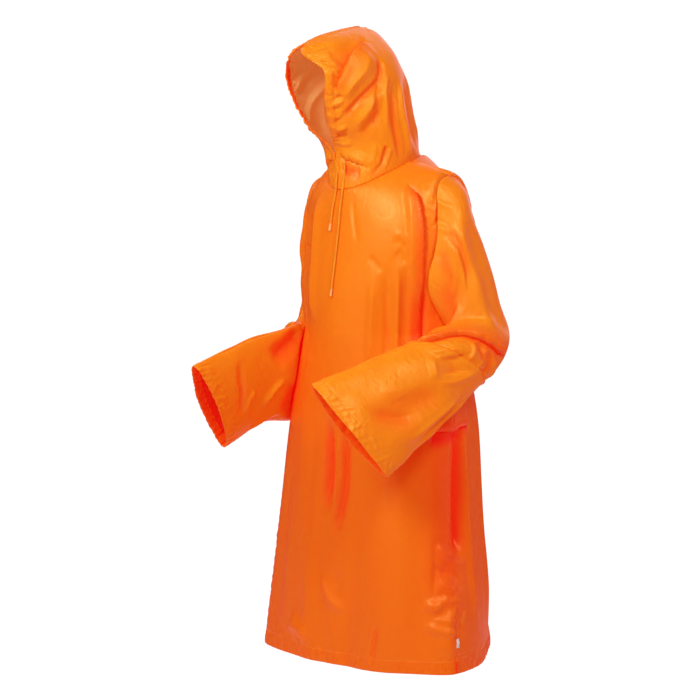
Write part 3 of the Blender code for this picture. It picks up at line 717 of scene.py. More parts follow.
def feed(tree: NodeTree, made: Node, *inputs: object,
         **named: object) -> Node:
    """Give a node its settings and inputs: a socket is linked and a value is set.

    Args:
        tree: Node tree that the node is in.
        made: The node.
        *inputs: Its inputs in their order; None passes one over.
        **named: Settings by name, and inputs by name with _ for a space.

    Returns:
        The node.
    """
    given = []
    for key, value in named.items():
        if hasattr(made, key):
            setattr(made, key, value)
        else:
            given.append((made.inputs[key.replace("_", " ")], value))
    for socket, value in given + list(zip(made.inputs, inputs)):
        if isinstance(value, NodeSocket):
            tree.links.new(value, socket)
        elif value is not None:
            socket.default_value = value
    return made


def node(tree: NodeTree, kind: str, *inputs: object,
         **named: object) -> Node:
    """Add a node of a type, named without its ShaderNode start, and feed it."""
    return feed(tree, tree.nodes.new("ShaderNode" + kind), *inputs, **named)


def calc(tree: NodeTree, operation: str, *inputs: object) -> NodeSocket:
    """Result of a Math node."""
    return node(tree, "Math", *inputs, operation=operation).outputs[0]


def ramp(tree: NodeTree, value: NodeSocket, *limits: float,
         **settings: str) -> NodeSocket:
    """Result of a Map Range node; the limits are from low, from high, to low and to high."""
    return node(tree, "MapRange", value, *limits, clamp=True, **settings).outputs[0]


def blend(tree: NodeTree, part: object, low: object,
          high: object) -> NodeSocket:
    """Colour between two others; a Mix node keeps its colours in inputs 6 and 7."""
    between = (None,) * 5
    return node(tree, "Mix", part, *between, low, high, data_type="RGBA").outputs[2]


def bump(tree: NodeTree, height: NodeSocket, strength: float,
         distance: float, normal: NodeSocket = None) -> NodeSocket:
    """Normal that a height bends, on top of another normal."""
    return node(tree, "Bump", Height=height, Strength=strength, Distance=distance,
                Normal=normal).outputs["Normal"]


def attribute(tree: NodeTree, name: str) -> NodeSocket:
    """Value that the points of a piece carry."""
    return node(tree, "Attribute", attribute_name=name).outputs["Fac"]


def object_place(tree: NodeTree) -> NodeSocket:
    """Place in the piece's own coordinates."""
    return node(tree, "TexCoord").outputs["Object"]


def cloth_place(tree: NodeTree) -> tuple:
    """Places across and along the flat cloth."""
    split = node(tree, "SeparateXYZ", node(tree, "UVMap", uv_map="cloth").outputs["UV"])
    return split.outputs["X"], split.outputs["Y"]


class ClothEffects:
    """Shader node groups that the cloth finishes share."""

    def __init__(self) -> None:
        """Build the groups once."""
        self.weave = self.plain_weave()
        self.crinkle = self.coated_crinkle()
        self.tone = self.uneven_tone()
        self.stitches = self.stitch_line()

    def stitch_line(self) -> NodeTree:
        """Stitches along the sewn lines of a piece, as a mask.

        Returns:
            The group.
        """
        group, start, end = new_group("stitch_line", {"Stitches per metre": 1800.0}, ("Mask",))
        along = calc(group, "ADD", *cloth_place(group))
        wave = calc(group, "SINE", calc(group, "MULTIPLY", along,
                                        start.outputs["Stitches per metre"]))
        thread = ramp(group, attribute(group, "thread"), 0.62, 0.86)
        feed(group, end, Mask=calc(group, "MULTIPLY", ramp(group, wave, -0.5, 0.2), thread))
        return group

    def plain_weave(self) -> NodeTree:
        """Plain weave of fine yarns on the cloth's own UV map, as a height.

        Returns:
            The group.
        """
        group, start, end = new_group("plain_weave", {"Yarns per metre": 1800.0}, ("Height",))
        yarns = start.outputs["Yarns per metre"]
        waves = [calc(group, "SINE", calc(group, "MULTIPLY", place, yarns))
                 for place in cloth_place(group)]
        feed(group, end, Height=calc(group, "MULTIPLY", *waves))
        return group

    def coated_crinkle(self) -> NodeTree:
        """Fine crinkles that a coating holds: soft ridges, and sharper facets in patches.

        Returns:
            The group.
        """
        group, start, end = new_group("coated_crinkle", {"Scale": 40.0, "Facets": 15.0},
                                      ("Height", "Mask"))
        place = object_place(group)
        drawn_out = node(group, "VectorMath", place, (1.0, 1.0, 0.55),
                         operation="MULTIPLY").outputs[0]
        broad = node(group, "TexNoise", Vector=drawn_out, Scale=start.outputs["Scale"],
                     Detail=3.0, Roughness=0.55, Distortion=0.6).outputs
        ridge = calc(group, "ABSOLUTE", calc(group, "SUBTRACT", broad[0], 0.5))
        soft = calc(group, "MULTIPLY_ADD", ridge, -1.6, broad[0])
        bent = node(group, "VectorMath", broad["Color"], (0.035, 0.035, 0.035), drawn_out,
                    operation="MULTIPLY_ADD").outputs[0]
        facets = node(group, "TexVoronoi", feature="F1", Vector=bent,
                      Scale=start.outputs["Facets"]).outputs["Distance"]
        patch = node(group, "TexNoise", Vector=place, Detail=1.0, Scale=9.0).outputs[0]
        sharp = calc(group, "MULTIPLY", facets, ramp(group, patch, 0.42, 0.62))
        feed(group, end, Height=calc(group, "ADD", sharp, soft), Mask=broad[0])
        return group

    def uneven_tone(self) -> NodeTree:
        """Broad random differences of tone over the cloth, and painted light that goes from Light
        high up to Deep low down.

        Returns:
            The group.
        """
        group, start, end = new_group("uneven_tone", {"Light": WHITE, "Deep": WHITE,
                                                      "Scale": 5.0}, ("Color",))
        place = object_place(group)
        cloud = node(group, "TexNoise", Vector=place, Scale=start.outputs["Scale"], Detail=4.0,
                     Roughness=0.6, Distortion=0.3).outputs[0]
        # Painted light: the colour goes from Light to Deep down the piece.
        height = node(group, "SeparateXYZ", place).outputs["Z"]
        down = ramp(group, height, -0.22, -0.62, 0.0, 0.85, interpolation_type="SMOOTHSTEP")
        part = calc(group, "MULTIPLY_ADD", ramp(group, cloud, 0.35, 0.65), 0.15, down)
        feed(group, end, Color=blend(group, part, start.outputs["Light"], start.outputs["Deep"]))
        return group


@dataclass(frozen=True)
class CoatedCloth:
    """Thin coated rain cloth.

    Attributes:
        light: Usual colour, taken high on each piece.
        deep: Colour painted low on each piece for the different light there, and in random patches.
        hem: Colour of doubled cloth in the hems.
        folded: Painted shade colour, deep in the folds.
        shade: How much of the painted shade colour the folds take.
        roughness: Roughness of the coating.
        crinkle: Strength of the fine crinkles.
        through: Painted glow that the cloth emits everywhere, standing in for light let through the
            thin cloth.
        through_folds: Stronger painted glow deep in the folds.
        glow: How much light spreads inside the cloth.
        shine: Tint of its reflections.
        thread: Colour of the stitches.
    """

    light: tuple = (0.30, 0.138, 0.004, 1.0)
    deep: tuple = (0.30, 0.116, 0.004, 1.0)
    hem: tuple = (0.30, 0.110, 0.003, 1.0)
    # Painted shade colour of the folds, and how much of it they take.
    folded: tuple = (0.26, 0.012, 0.003, 1.0)
    shade: float = 0.9
    roughness: float = 0.37
    crinkle: float = 0.15
    # Painted glow: constant red emission, as if the cloth were lit from within.
    through: tuple = (0.47, 0.0, 0.001, 1.0)
    through_folds: tuple = (0.58, 0.0, 0.002, 1.0)
    glow: float = 0.20
    shine: tuple = (1.0, 0.62, 0.22, 1.0)
    thread: tuple = (0.34, 0.185, 0.02, 1.0)

    def material(self, name: str, effects: ClothEffects) -> Material:
        """Make the finish.

        Args:
            name: Name of the material.
            effects: Shared node groups.

        Returns:
            The material.
        """
        made, tree, shader = new_finish(
            name, Specular_IOR_Level=0.38, Specular_Tint=self.shine, Subsurface_Weight=self.glow,
            Subsurface_Radius=(1.0, 0.16, 0.03), Subsurface_Scale=0.004, Emission_Strength=1.0)
        # Painted light that changes with height, over a random tone.
        tone = node(tree, "Group", node_tree=effects.tone, Light=self.light, Deep=self.deep)
        doubled = calc(tree, "MULTIPLY", attribute(tree, "layers"), 0.8)
        # Painted shade: the hollow attribute draws the colour to the fold shade colour and the
        # emission to the fold glow.
        shade = calc(tree, "MULTIPLY", attribute(tree, "hollow"), self.shade)
        stitches = node(tree, "Group", node_tree=effects.stitches).outputs["Mask"]
        cloth = blend(tree, doubled, tone.outputs["Color"], self.hem)
        cloth = blend(tree, shade, cloth, self.folded)
        crinkle = node(tree, "Group", node_tree=effects.crinkle).outputs
        weave = node(tree, "Group", node_tree=effects.weave).outputs["Height"]
        broad = bump(tree, crinkle["Height"], self.crinkle, 0.004)
        fine = bump(tree, weave, 0.25, 0.0001, broad)
        # The emission is a painted glow, stronger where the painted shade lies.
        feed(tree, shader, Base_Color=blend(tree, stitches, cloth, self.thread),
             Emission_Color=blend(tree, shade, self.through, self.through_folds),
             Roughness=ramp(tree, crinkle["Mask"], 0.0, 1.0, self.roughness - 0.06,
                            self.roughness + 0.08),
             Normal=bump(tree, stitches, 0.6, 0.0006, fine))
        return made


@dataclass(frozen=True)
class BraidedCord:
    """Round braided drawstring, with strands round it each way and the length of one plait."""

    colour: tuple = (0.36, 0.21, 0.012, 1.0)
    # Painted shade in the grooves between the strands.
    groove: tuple = (0.32, 0.13, 0.008, 1.0)
    strands: int = 4
    plait: float = 0.0042

    def material(self, name: str) -> Material:
        """Make the finish.

        Args:
            name: Name of the material.

        Returns:
            The material.
        """
        # Painted glow: the cord emits red light, though it is no lamp.
        made, tree, shader = new_finish(
            name, Roughness=0.6, Specular_Tint=(1.0, 0.5, 0.15, 1.0),
            Emission_Color=(0.36, 0.0, 0.0, 1.0), Emission_Strength=1.0)
        across, along = cloth_place(tree)
        waves = []
        for strands in (self.strands, -self.strands):
            around = calc(tree, "MULTIPLY", across, strands * TURN)
            waves.append(calc(tree, "SINE", calc(tree, "MULTIPLY_ADD", along, TURN / self.plait,
                                                 around)))
        top = calc(tree, "MAXIMUM", *waves)
        # The braid's grooves take the painted shade colour.
        feed(tree, shader, Normal=bump(tree, top, 0.7, 0.0005),
             Base_Color=blend(tree, ramp(tree, top, -0.4, 0.7), self.groove, self.colour))
        return made


@dataclass(frozen=True)
class PlainFinish:
    """Plain finish with a fine uneven grain."""

    colour: tuple
    dark: tuple
    roughness: float
    grain: float

    def material(self, name: str) -> Material:
        """Make the finish.

        Args:
            name: Name of the material.

        Returns:
            The material.
        """
        made, tree, shader = new_finish(name, Roughness=self.roughness)
        noise = node(tree, "TexNoise", Vector=object_place(tree), Scale=self.grain,
                     Detail=3.0).outputs[0]
        feed(tree, shader, Base_Color=blend(tree, noise, self.colour, self.dark),
             Normal=bump(tree, noise, 0.3, 0.0002))
        return made


# ---- Studio ----


def mesh_object(name: str, points: list, faces: list) -> Object:
    """Make an object from points and faces.

    Args:
        name: Name of the object and its mesh.
        points: Its points.
        faces: Its faces, as places in the list of points.

    Returns:
        The object, linked to the scene.
    """
    mesh = bpy.data.meshes.new(name)
    mesh.from_pydata(points, [], faces)
    made = bpy.data.objects.new(name, mesh)
    bpy.context.scene.collection.objects.link(made)
    return made


@dataclass
class Studio:
    """Camera, soft light and a pale floor."""

    eye: tuple = (3.160, -3.613, 0.0)
    pitch: float = 4.68
    azimuth: float = 42.0
    lens: float = 106.87
    sensor: float = 36.0
    target: tuple = (0.0, 0.0, -0.35)
    floor_z: float = -1.60
    floor_reach: float = 14.0
    surround: float = 0.05
    paper: float = 1.05
    # name, place, size, power
    lamps: tuple = (
        ("key", (0.37, -2.08, 0.97), 0.9, 61.0),
        ("right", (1.84, -0.98, 0.95), 0.7, 34.0),
        ("low_front", (-0.21, -2.39, -0.27), 1.5, 5.0),
        ("left", (-1.75, -0.75, 1.45), 1.4, 10.0),
        ("back", (-0.70, 2.25, 1.10), 3.6, 40.0),
        ("back_right", (1.84, 1.54, -0.27), 1.5, 6.0),
    )

    def build(self) -> None:
        """Build the studio."""
        self.camera()
        self.light()
        self.floor()
        LOG.info("studio built")

    def camera(self) -> None:
        """Place the camera."""
        view = bpy.data.cameras.new("camera")
        view.sensor_width = self.sensor
        view.lens = self.lens
        camera = bpy.data.objects.new("camera", view)
        camera.location = self.eye
        camera.rotation_euler = (math.radians(90 - self.pitch), 0.0, math.radians(self.azimuth))
        bpy.context.scene.collection.objects.link(camera)
        bpy.context.scene.camera = camera

    def light(self) -> None:
        """Place the soft lights and the surround."""
        scene = bpy.context.scene
        scene.view_settings.view_transform = "Standard"
        scene.view_settings.look = "None"
        scene.world = bpy.data.worlds.new("surround")
        scene.world.use_nodes = True
        tree = scene.world.node_tree
        soft = feed(tree, tree.nodes["Background"], Color=WHITE, Strength=self.surround)
        wall = node(tree, "Background", Color=WHITE, Strength=self.paper)
        self.show(tree, soft, wall, "World Output")
        for name, place, size, power in self.lamps:
            lamp = bpy.data.lights.new(name, "AREA")
            lamp.shape = "DISK"
            lamp.size = size
            lamp.energy = power
            made = bpy.data.objects.new(name, lamp)
            made.location = place
            toward = Vector(self.target) - Vector(place)
            made.rotation_euler = toward.to_track_quat("-Z", "Y").to_euler()
            scene.collection.objects.link(made)

    def show(self, tree: NodeTree, plain: Node, seen: Node,
             end: str) -> None:
        """Show one shader to the camera and another to the rest of the light.

        Args:
            tree: Node tree of both shaders.
            plain: Shader for all other rays.
            seen: Shader for the camera's own rays.
            end: Name of the output node.
        """
        ray = node(tree, "LightPath").outputs["Is Camera Ray"]
        both = node(tree, "MixShader", ray, plain.outputs[0], seen.outputs[0])
        feed(tree, tree.nodes[end], Surface=both.outputs[0])

    def floor(self) -> None:
        """Lay the floor."""
        corners = [(x * self.floor_reach, y * self.floor_reach, self.floor_z)
                   for x, y in ((-1, -1), (1, -1), (1, 1), (-1, 1))]
        floor = mesh_object("floor", corners, [(0, 1, 2, 3)])
        finish = PlainFinish((0.96, 0.96, 0.96, 1.0), (0.93, 0.93, 0.93, 1.0), 0.9, 3.0)
        made = finish.material("pale_floor")
        tree = made.node_tree
        paper = node(tree, "Emission", Strength=self.paper)
        self.show(tree, tree.nodes["Principled BSDF"], paper, "Material Output")
        floor.data.materials.append(made)


# ---- Form of the garment ----

# Body folds lie at (degrees round the body, height); 0 is the centre front, 90 the wearer's left
BODY_FOLDS = folds(
    ("left armhole crease", LAP, ((62.5, -440), (62.5, -340), (61.6, -240), (61, -170),
     (61.2, -100), (59.5, -40), (56, -5)), 11, 18, 0.09, 0.95),
    ("beside the crease", PLEAT, ((55, -4), (57, -50), (57, -130), (57, -240)), 12, 5),
    ("armhole bulge", RIDGE, ((79, -25), (74, -100), (68.5, -190), (68, -250), (75, -310)), 15, 8.5,
     0.2, 0.35),
    ("below the bulge", TROUGH, ((71, -210), (72, -300), (74, -420)), 30, 2, 0.3, 0.45),
    ("armhole short crease", CREASE, ((80, -30), (75, -62), (73, -105)), 10, 9, 0.2, 0.6),
    ("below the armhole crease", TROUGH, ((65, -210), (64, -300), (62.5, -430)), 21, 17, 0.35,
     0.95),
    ("chest pinch", VALLEY, ((45, -134), (50, -138), (56, -156)), 10, 4.2),
    ("above the pinch", PLEAT, ((46, -122), (51, -124), (55, -134)), 9, 2.8),
    ("chest pinch shade", TROUGH, ((48, -155), (55, -185)), 15, 4),
    ("upper chest pull", VALLEY, ((29, -165), (33, -183), (39, -207)), 11, 3.5),
    ("chest hang 1", PLEAT, ((33, -180), (31, -300), (29, -460)), 20, 7.5, 0.35),
    ("chest hang 2", TROUGH, ((41, -180), (42, -280), (41, -450)), 14, 8),
    ("chest hang 3", PLEAT, ((48.5, -160), (49, -250), (48, -440)), 12, 6.5, 0.35),
    ("chest hang 4", TROUGH, ((55, -170), (55, -280), (55, -450)), 16, 6, 0.3, 0.25),
    ("neck pull", VALLEY, ((14, -35), (15, -80), (20, -150)), 12, 2.5),
    ("right breast corner", PLEAT, ((-30, -20), (-28, -120), (-27, -340)), 30, 7, 0.2),
    ("under cuff right", TROUGH, ((-10, -530), (-10.6, -600), (-10, -680), (-13, -770)), 20, 12,
     0.3, 0.72),
    ("under cuff middle", PLEAT, ((-2, -570), (-1, -660), (-3, -760)), 9, 5),
    ("under cuff left", VALLEY, ((5, -540), (7, -600), (7.5, -670), (4.5, -730), (-3, -820)), 18,
     12, 0.3, 0.58),
    ("crescent", PLEAT, ((-14.5, -885), (-11, -925), (-3, -957), (10.5, -972)), 13, 6.5),
    ("inside the crescent", TROUGH, ((-6, -890), (6, -930)), 20, 4),
    ("low right bulge", RIDGE, ((-45, -1010), (-34, -1030), (-24, -1048)), 16, 11.5),
    ("hem crease", CREASE, ((36, -985), (34.5, -1030), (32, -1085)), 9, 6, 0.3, 0.15),
    ("skirt swell", RIDGE, ((38, -520), (45, -740), (48, -1120)), 60, 7.5),
    ("skirt hollow", TROUGH, ((57, -660), (58, -850), (59, -1100)), 24, 6),
    ("turn to the side fold", TROUGH, ((76, -500), (75, -660), (73, -840), (71, -1000)), 38, 16,
     0.3, 0.45),
    ("skirt right hollow", TROUGH, ((22, -620), (17, -850), (13, -1130)), 38, 5),
    ("skirt right swell", PLEAT, ((-22, -550), (-24, -800), (-30, -1120)), 34, 4.5),
    ("side seam tug 1", PLEAT, ((67, -812), (71, -828), (77, -846)), 12, 7.5, 0.3),
    ("side seam tug 2", CREASE, ((66, -862), (70, -868), (76, -880)), 8, 4.5),
    ("side seam tug 3", PLEAT, ((60, -938), (65, -945), (73, -928)), 15, 10.5, 0.2),
    ("side seam tug 4", CREASE, ((62, -972), (67, -965), (74, -975)), 8, 4.5),
    ("side seam tug 5", PLEAT, ((60, -988), (66, -1000), (74, -1006)), 14, 10, 0.2),
    ("side seam gather", VALLEY, ((67, -780), (66, -880), (63, -960)), 10, 4.5),
    ("left side pleat", TROUGH, ((87, -545), (85.5, -600), (83.5, -680), (82, -760), (80.5, -860)),
     14, 24, 0.2, 1.0),
    ("left side roll", PLEAT, ((91, -580), (90, -720), (90, -900), (94, -1060)), 17, 9),
    ("left side overhang", LAP, ((65, -553), (80, -549), (97, -545)), 14, 15, 0.12, 0.9),
    ("below the overhang", TROUGH, ((64, -580), (80, -576), (92, -572)), 17, 6, 0.15, 1.0),
    ("left side upper roll", RIDGE, ((84, -400), (90, -500)), 45, 9),
    ("right armhole crease", CREASE, ((-66.5, -30), (-65, -120), (-63, -220), (-61, -340)), 13, 14,
     0.2),
    ("right armhole ridge", PLEAT, ((-60, -20), (-61, -100), (-59, -220)), 12, 5),
    ("right breast hollow", TROUGH, ((-55, -35), (-50, -100), (-47, -170), (-47, -250)), 60, 17,
     0.3),
    ("right chest pinch", LAP, ((-57, -165), (-51, -150), (-44, -148)), 9, 4.5),
    ("right chest hang", TROUGH, ((-47, -180), (-47, -300), (-44, -460)), 17, 6.5),
    ("right side pleat", CREASE, ((-88, -500), (-87, -620), (-84, -780), (-81, -950)), 18, 18, 0.2),
    ("right side roll", PLEAT, ((-94, -520), (-94, -740), (-97, -1050)), 19, 8),
    ("right side overhang", LAP, ((-99, -500), (-88, -508), (-78, -520)), 16, 10),
    ("right seam tug 1", PLEAT, ((-76, -845), (-73, -850), (-69, -842)), 8, 1.8),
    ("right seam tug 2", CREASE, ((-79, -915), (-75, -908), (-70, -912)), 8, 1.8),
    ("right seam tug 3", PLEAT, ((-80, -985), (-75, -992), (-69, -983)), 10, 1.8),
    ("right skirt hollow", TROUGH, ((-57, -620), (-58, -860), (-60, -1120)), 26, 8.5),
    ("back left hang", TROUGH, ((136, -240), (134, -500), (130, -800), (127, -1120)), 34, 15, 0.25),
    ("back left roll", PLEAT, ((121, -400), (119, -700), (116, -1100)), 26, 10, 0.25),
    ("back left second", VALLEY, ((152, -420), (150, -720), (147, -1120)), 22, 9, 0.25),
    ("back middle roll", RIDGE, ((178, -120), (175, -500), (170, -1120)), 40, 10, 0.2),
    ("back right hang", TROUGH, ((-143, -220), (-146, -520), (-150, -840), (-147, -1120)), 32, 14,
     0.25),
    ("back right roll", PLEAT, ((-128, -360), (-129, -700), (-126, -1100)), 26, 10, 0.25),
    ("back right second", VALLEY, ((-162, -480), (-165, -800), (-168, -1120)), 24, 8, 0.25),
    ("left blade pull", LAP, ((112, -235), (126, -215), (142, -170)), 14, 6),
    ("right blade pull", LAP, ((-150, -185), (-132, -225), (-114, -250)), 14, 6),
    ("back neck sag", VALLEY, ((158, -85), (180, -105), (204, -88)), 14, 4.5),
    ("back left armhole", CREASE, ((110, -50), (113, -160), (116, -290)), 14, 11),
    ("back right armhole", CREASE, ((-110, -50), (-114, -150), (-116, -270)), 14, 11),
    ("back hem crease", CREASE, ((158, -970), (160, -1020), (163, -1075)), 9, 5.5),
    ("back hem crease right", CREASE, ((-139, -990), (-136, -1030), (-134, -1080)), 9, 5),
)


@dataclass
class BodyForm:
    """Worn form of the body: neck, shoulders, armholes and skirt."""

    hem_z: float = -1.096
    underarm_z: float = -0.345
    axis_y: float = 0.02
    neck_half_width: float = 0.100
    neck_front: tuple = (-0.135, -0.023)
    neck_back: tuple = (0.110, 0.055)
    neck_side_z: float = 0.042
    shoulder: tuple = (0.200, 0.005, 0.009)
    shoulder_bow: float = 0.006
    right_drop: float = 0.016
    right_draw: float = 0.014
    drop_start_x: float = -0.102
    drop_width: float = 0.090
    drop_height: float = 0.250
    yoke_start: float = 0.50
    side_crowding: float = 0.10
    hem_set: tuple = (-0.75, 0.33)
    hem_right_drop: float = 0.009
    hem_back_rise: float = 0.022
    hem_waves: tuple = (7, 0.004, 0.25)
    rows_hem: int = 24
    rows_side: int = 112
    rows_armhole: int = 84
    columns_neck: int = 62
    columns_shoulder: int = 38
    hem_zone: float = 0.042
    # height, side_x, side_y, front_y, front_full, back_y, back_full
    sections: tuple = (
        (-1.096, 0.288, -0.070, -0.160, 2.0, 0.252, 2.0),
        (-0.950, 0.276, -0.060, -0.155, 2.0, 0.241, 2.0),
        (-0.757, 0.258, -0.045, -0.148, 2.0, 0.212, 2.0),
        (-0.554, 0.241, -0.022, -0.143, 1.9, 0.196, 2.0),
        (-0.430, 0.221, -0.004, -0.152, 1.8, 0.191, 2.0),
        (-0.345, 0.205, 0.008, -0.160, 1.7, 0.188, 2.0),
    )
    # part, front_edge_x, front_edge_y, back_edge_x, back_edge_y, front_y, front_full, back_y
    armhole: tuple = (
        (0.00, 0.205, 0.008, 0.205, 0.008, -0.160, 1.7, 0.188),
        (0.30, 0.184, -0.052, 0.194, 0.080, -0.158, 1.7, 0.186),
        (0.60, 0.202, -0.043, 0.200, 0.086, -0.148, 1.8, 0.180),
        (0.85, 0.199, -0.030, 0.200, 0.052, -0.141, 2.0, 0.160),
        (1.00, 0.200, 0.005, 0.200, 0.005, -0.135, 2.0, 0.110),
    )
    folds: tuple = BODY_FOLDS

    def neck_point(self, angle: Array) -> Array:
        """Find points of the neck seam.

        Args:
            angle: Angles round the neck; 0 is the centre front, pi the centre back.

        Returns:
            One point for each angle.
        """
        middle = 0.5 * (self.neck_front[0] + self.neck_back[0])
        depth = 0.5 * (self.neck_back[0] - self.neck_front[0])
        level = 0.5 * (self.neck_front[1] + self.neck_back[1])
        tilt = 0.5 * (self.neck_back[1] - self.neck_front[1])
        x = self.neck_half_width * np.sin(angle)
        y = middle - depth * np.cos(angle)
        z = level - tilt * np.cos(angle) + (self.neck_side_z - level) * np.sin(angle) ** 2
        return np.stack([x, y, z], -1)

    def quarter(self, side: Array, middle: float, full: float, fractions: Array) -> Array:
        """Quarter of a rounded section from the middle (x = 0) to the side point.

        Args:
            side: Place of the side point.
            middle: Place of the middle point along Y.
            full: Roundness; 2 is an ellipse.
            fractions: Parts of its length to read.

        Returns:
            Places along X and Y.
        """
        turn = np.linspace(0.0, math.pi / 2, 481)
        power = 2.0 / full
        x = side[0] * np.sin(turn) ** power
        y = side[1] + (middle - side[1]) * np.cos(turn) ** power
        return even(np.stack([x, y], 1), fractions)

    def top_row(self, front: bool) -> Array:
        """Work out the neck and shoulder edge of half a panel.

        Args:
            front: Whether it is the front panel.

        Returns:
            Its points from the centre to the shoulder.
        """
        start, end = (0.0, math.pi / 2) if front else (math.pi, math.pi / 2)
        neck = self.neck_point(np.linspace(start, end, self.columns_neck + 1))
        part = np.linspace(0.0, 1.0, self.columns_shoulder + 1)[1:, None]
        shoulder = neck[-1] * (1 - part) + np.array(self.shoulder) * part
        shoulder[:, 2] += self.shoulder_bow * np.sin(math.pi * part[:, 0])
        return np.vstack([neck, shoulder])

    def heights(self) -> Array:
        """Heights of the rows below the underarm, close together in the hem."""
        return two_zones((self.hem_z, self.hem_z + self.hem_zone, self.underarm_z),
                         (self.rows_hem, self.rows_side))

    def half_panel(self, front: bool) -> Array:
        """Work out half of a body panel.

        Args:
            front: Whether it is the front panel.

        Returns:
            Rows from the hem to the shoulder, each from the centre to the side.
        """
        top = self.top_row(front)
        columns = len(top)
        steps = lengths(top)
        along_top = steps / steps[-1]
        evenly = np.linspace(0.0, 1.0, columns)
        crowded = evenly + self.side_crowding * np.sin(math.pi * evenly)
        rows = []
        table = np.array(self.sections)
        middle, full = (3, 4) if front else (5, 6)
        for height in self.heights():
            section = through(table[:, 0], table, height)[0]
            line = self.quarter(section[1:3], section[middle], section[full], crowded)
            rows.append(np.column_stack([line, np.full(columns, height)]))
        table = np.array(self.armhole)
        edge = slice(1, 3) if front else slice(3, 5)
        for part in np.linspace(0.0, 1.0, self.rows_armhole + 1)[1:-1]:
            section = through(table[:, 0], table, part)[0]
            roundness = section[6] if front else 2.0
            spacing = crowded + (along_top - crowded) * part
            line = self.quarter(section[edge], section[5] if front else section[7], roundness,
                                spacing)
            turn = 0.5 * math.pi * max(part - self.yoke_start, 0.0) / (1.0 - self.yoke_start)
            inward = (1.0 - math.cos(turn)) * (1.0 - ease((spacing - 0.80) / 0.20))
            line += (top[:, :2] - line) * inward[:, None]
            lower = min(part, self.yoke_start) + (1.0 - self.yoke_start) * math.sin(turn)
            height = self.underarm_z + (top[:, 2] - self.underarm_z) * lower
            rows.append(np.column_stack([line, height]))
        rows.append(top)
        return np.array(rows)

    def outward(self, points: Array) -> Array:
        """Find the direction in which the folds of the body stand out.

        Args:
            points: Points of a panel.

        Returns:
            One direction for each point.
        """
        core = np.zeros_like(points)
        core[..., 1] = self.axis_y
        core[..., 2] = np.minimum(points[..., 2], -0.13)
        return unit(points - core)

    def drop_shoulder(self, points: Array) -> Array:
        """Lower the wearer's right shoulder and draw it in.

        Args:
            points: Points of any piece.

        Returns:
            The moved points.
        """
        points = np.array(points, float)
        part = ease((self.drop_start_x - points[..., 0]) / self.drop_width)
        high = ease((points[..., 2] + self.drop_height) / self.drop_height)
        points[..., 2] -= self.right_drop * part * high
        points[..., 0] += self.right_draw * part * high
        return points

    def panel(self, front: bool) -> ClothGrid:
        """Work out a body panel with its folds.

        Args:
            front: Whether it is the front panel.

        Returns:
            The panel's grid, columns from the wearer's right to the left.
        """
        half = self.half_panel(front)
        points = np.concatenate([half[:, :0:-1] * np.array([-1.0, 1.0, 1.0]), half], axis=1)
        centre = points.shape[1] // 2
        run = lengths(points)
        across = lengths(points.swapaxes(0, 1)).swapaxes(0, 1)
        flat = np.stack([across - across[:, centre:centre + 1], run], -1)
        grid = ClothGrid(points, flat, 1.0 if front else -1.0)
        angle = np.degrees(np.arctan2(points[..., 0], self.axis_y - points[..., 1]))
        if not front:
            angle = angle % 360.0
        height = points[..., 2].copy()
        outward = self.outward(points)
        waves, wave_depth, wave_height = self.hem_waves
        low = ease((self.hem_z + wave_height - height) / wave_height)
        shift = -wave_depth * low * np.sin(waves * np.radians(angle) + 0.6)
        shift += self.undulation(angle, height)
        grid.lift(shift, outward)
        for fold in self.folds:
            grid.press((fold,), full_turns(angle, fold), height, DEGREE, outward)
        points = grid.points
        low = ease((self.hem_set[0] - height) / self.hem_set[1])
        drop = self.hem_right_drop * ease(0.5 - 0.5 * outward[..., 0] - 0.5 * outward[..., 1])
        rise = self.hem_back_rise * ease(outward[..., 1])
        points[..., 2] += low * (rise - drop)
        grid.points = self.drop_shoulder(points)
        return grid

    def undulation(self, angle: Array, height: Array) -> Array:
        """Work out the soft uneven hang of the cloth, the same where panels meet.

        Args:
            angle: Degrees round the body.
            height: Heights.

        Returns:
            How far the cloth stands out.
        """
        turn = np.radians(angle)
        low = ease((-0.30 - height) / 0.35)
        broad = (np.sin(3 * turn + 0.7 + 1.3 * height) + np.sin(5 * turn + 2.1 - 2.2 * height)
                 + 0.8 * np.sin(9 * turn + 4.0 + 2.6 * height + np.sin(2 * turn)))
        fine = np.sin(14 * turn + 1.0 + 5.0 * height + 1.5 * np.sin(6.0 * height + 2 * turn))
        across = angle * DEGREE
        height_drop = ease((-0.76 - height) / 0.10) * ease((height + 1.09) / 0.05)
        seam = bell(angle - 71.0, 6.5) + 0.12 * bell(angle + 76.0, 7.0)
        facets = seam * height_drop * crumple(across, height, 71, 0.032)
        corner = np.exp(-(((angle + 38.0) / 9.0) ** 2) - ((height + 1.035) / 0.030) ** 2)
        facets += 0.9 * corner * crumple(across, height, 72, 0.024)
        return low * (0.0016 * broad + 0.0008 * fine) + 0.0052 * facets


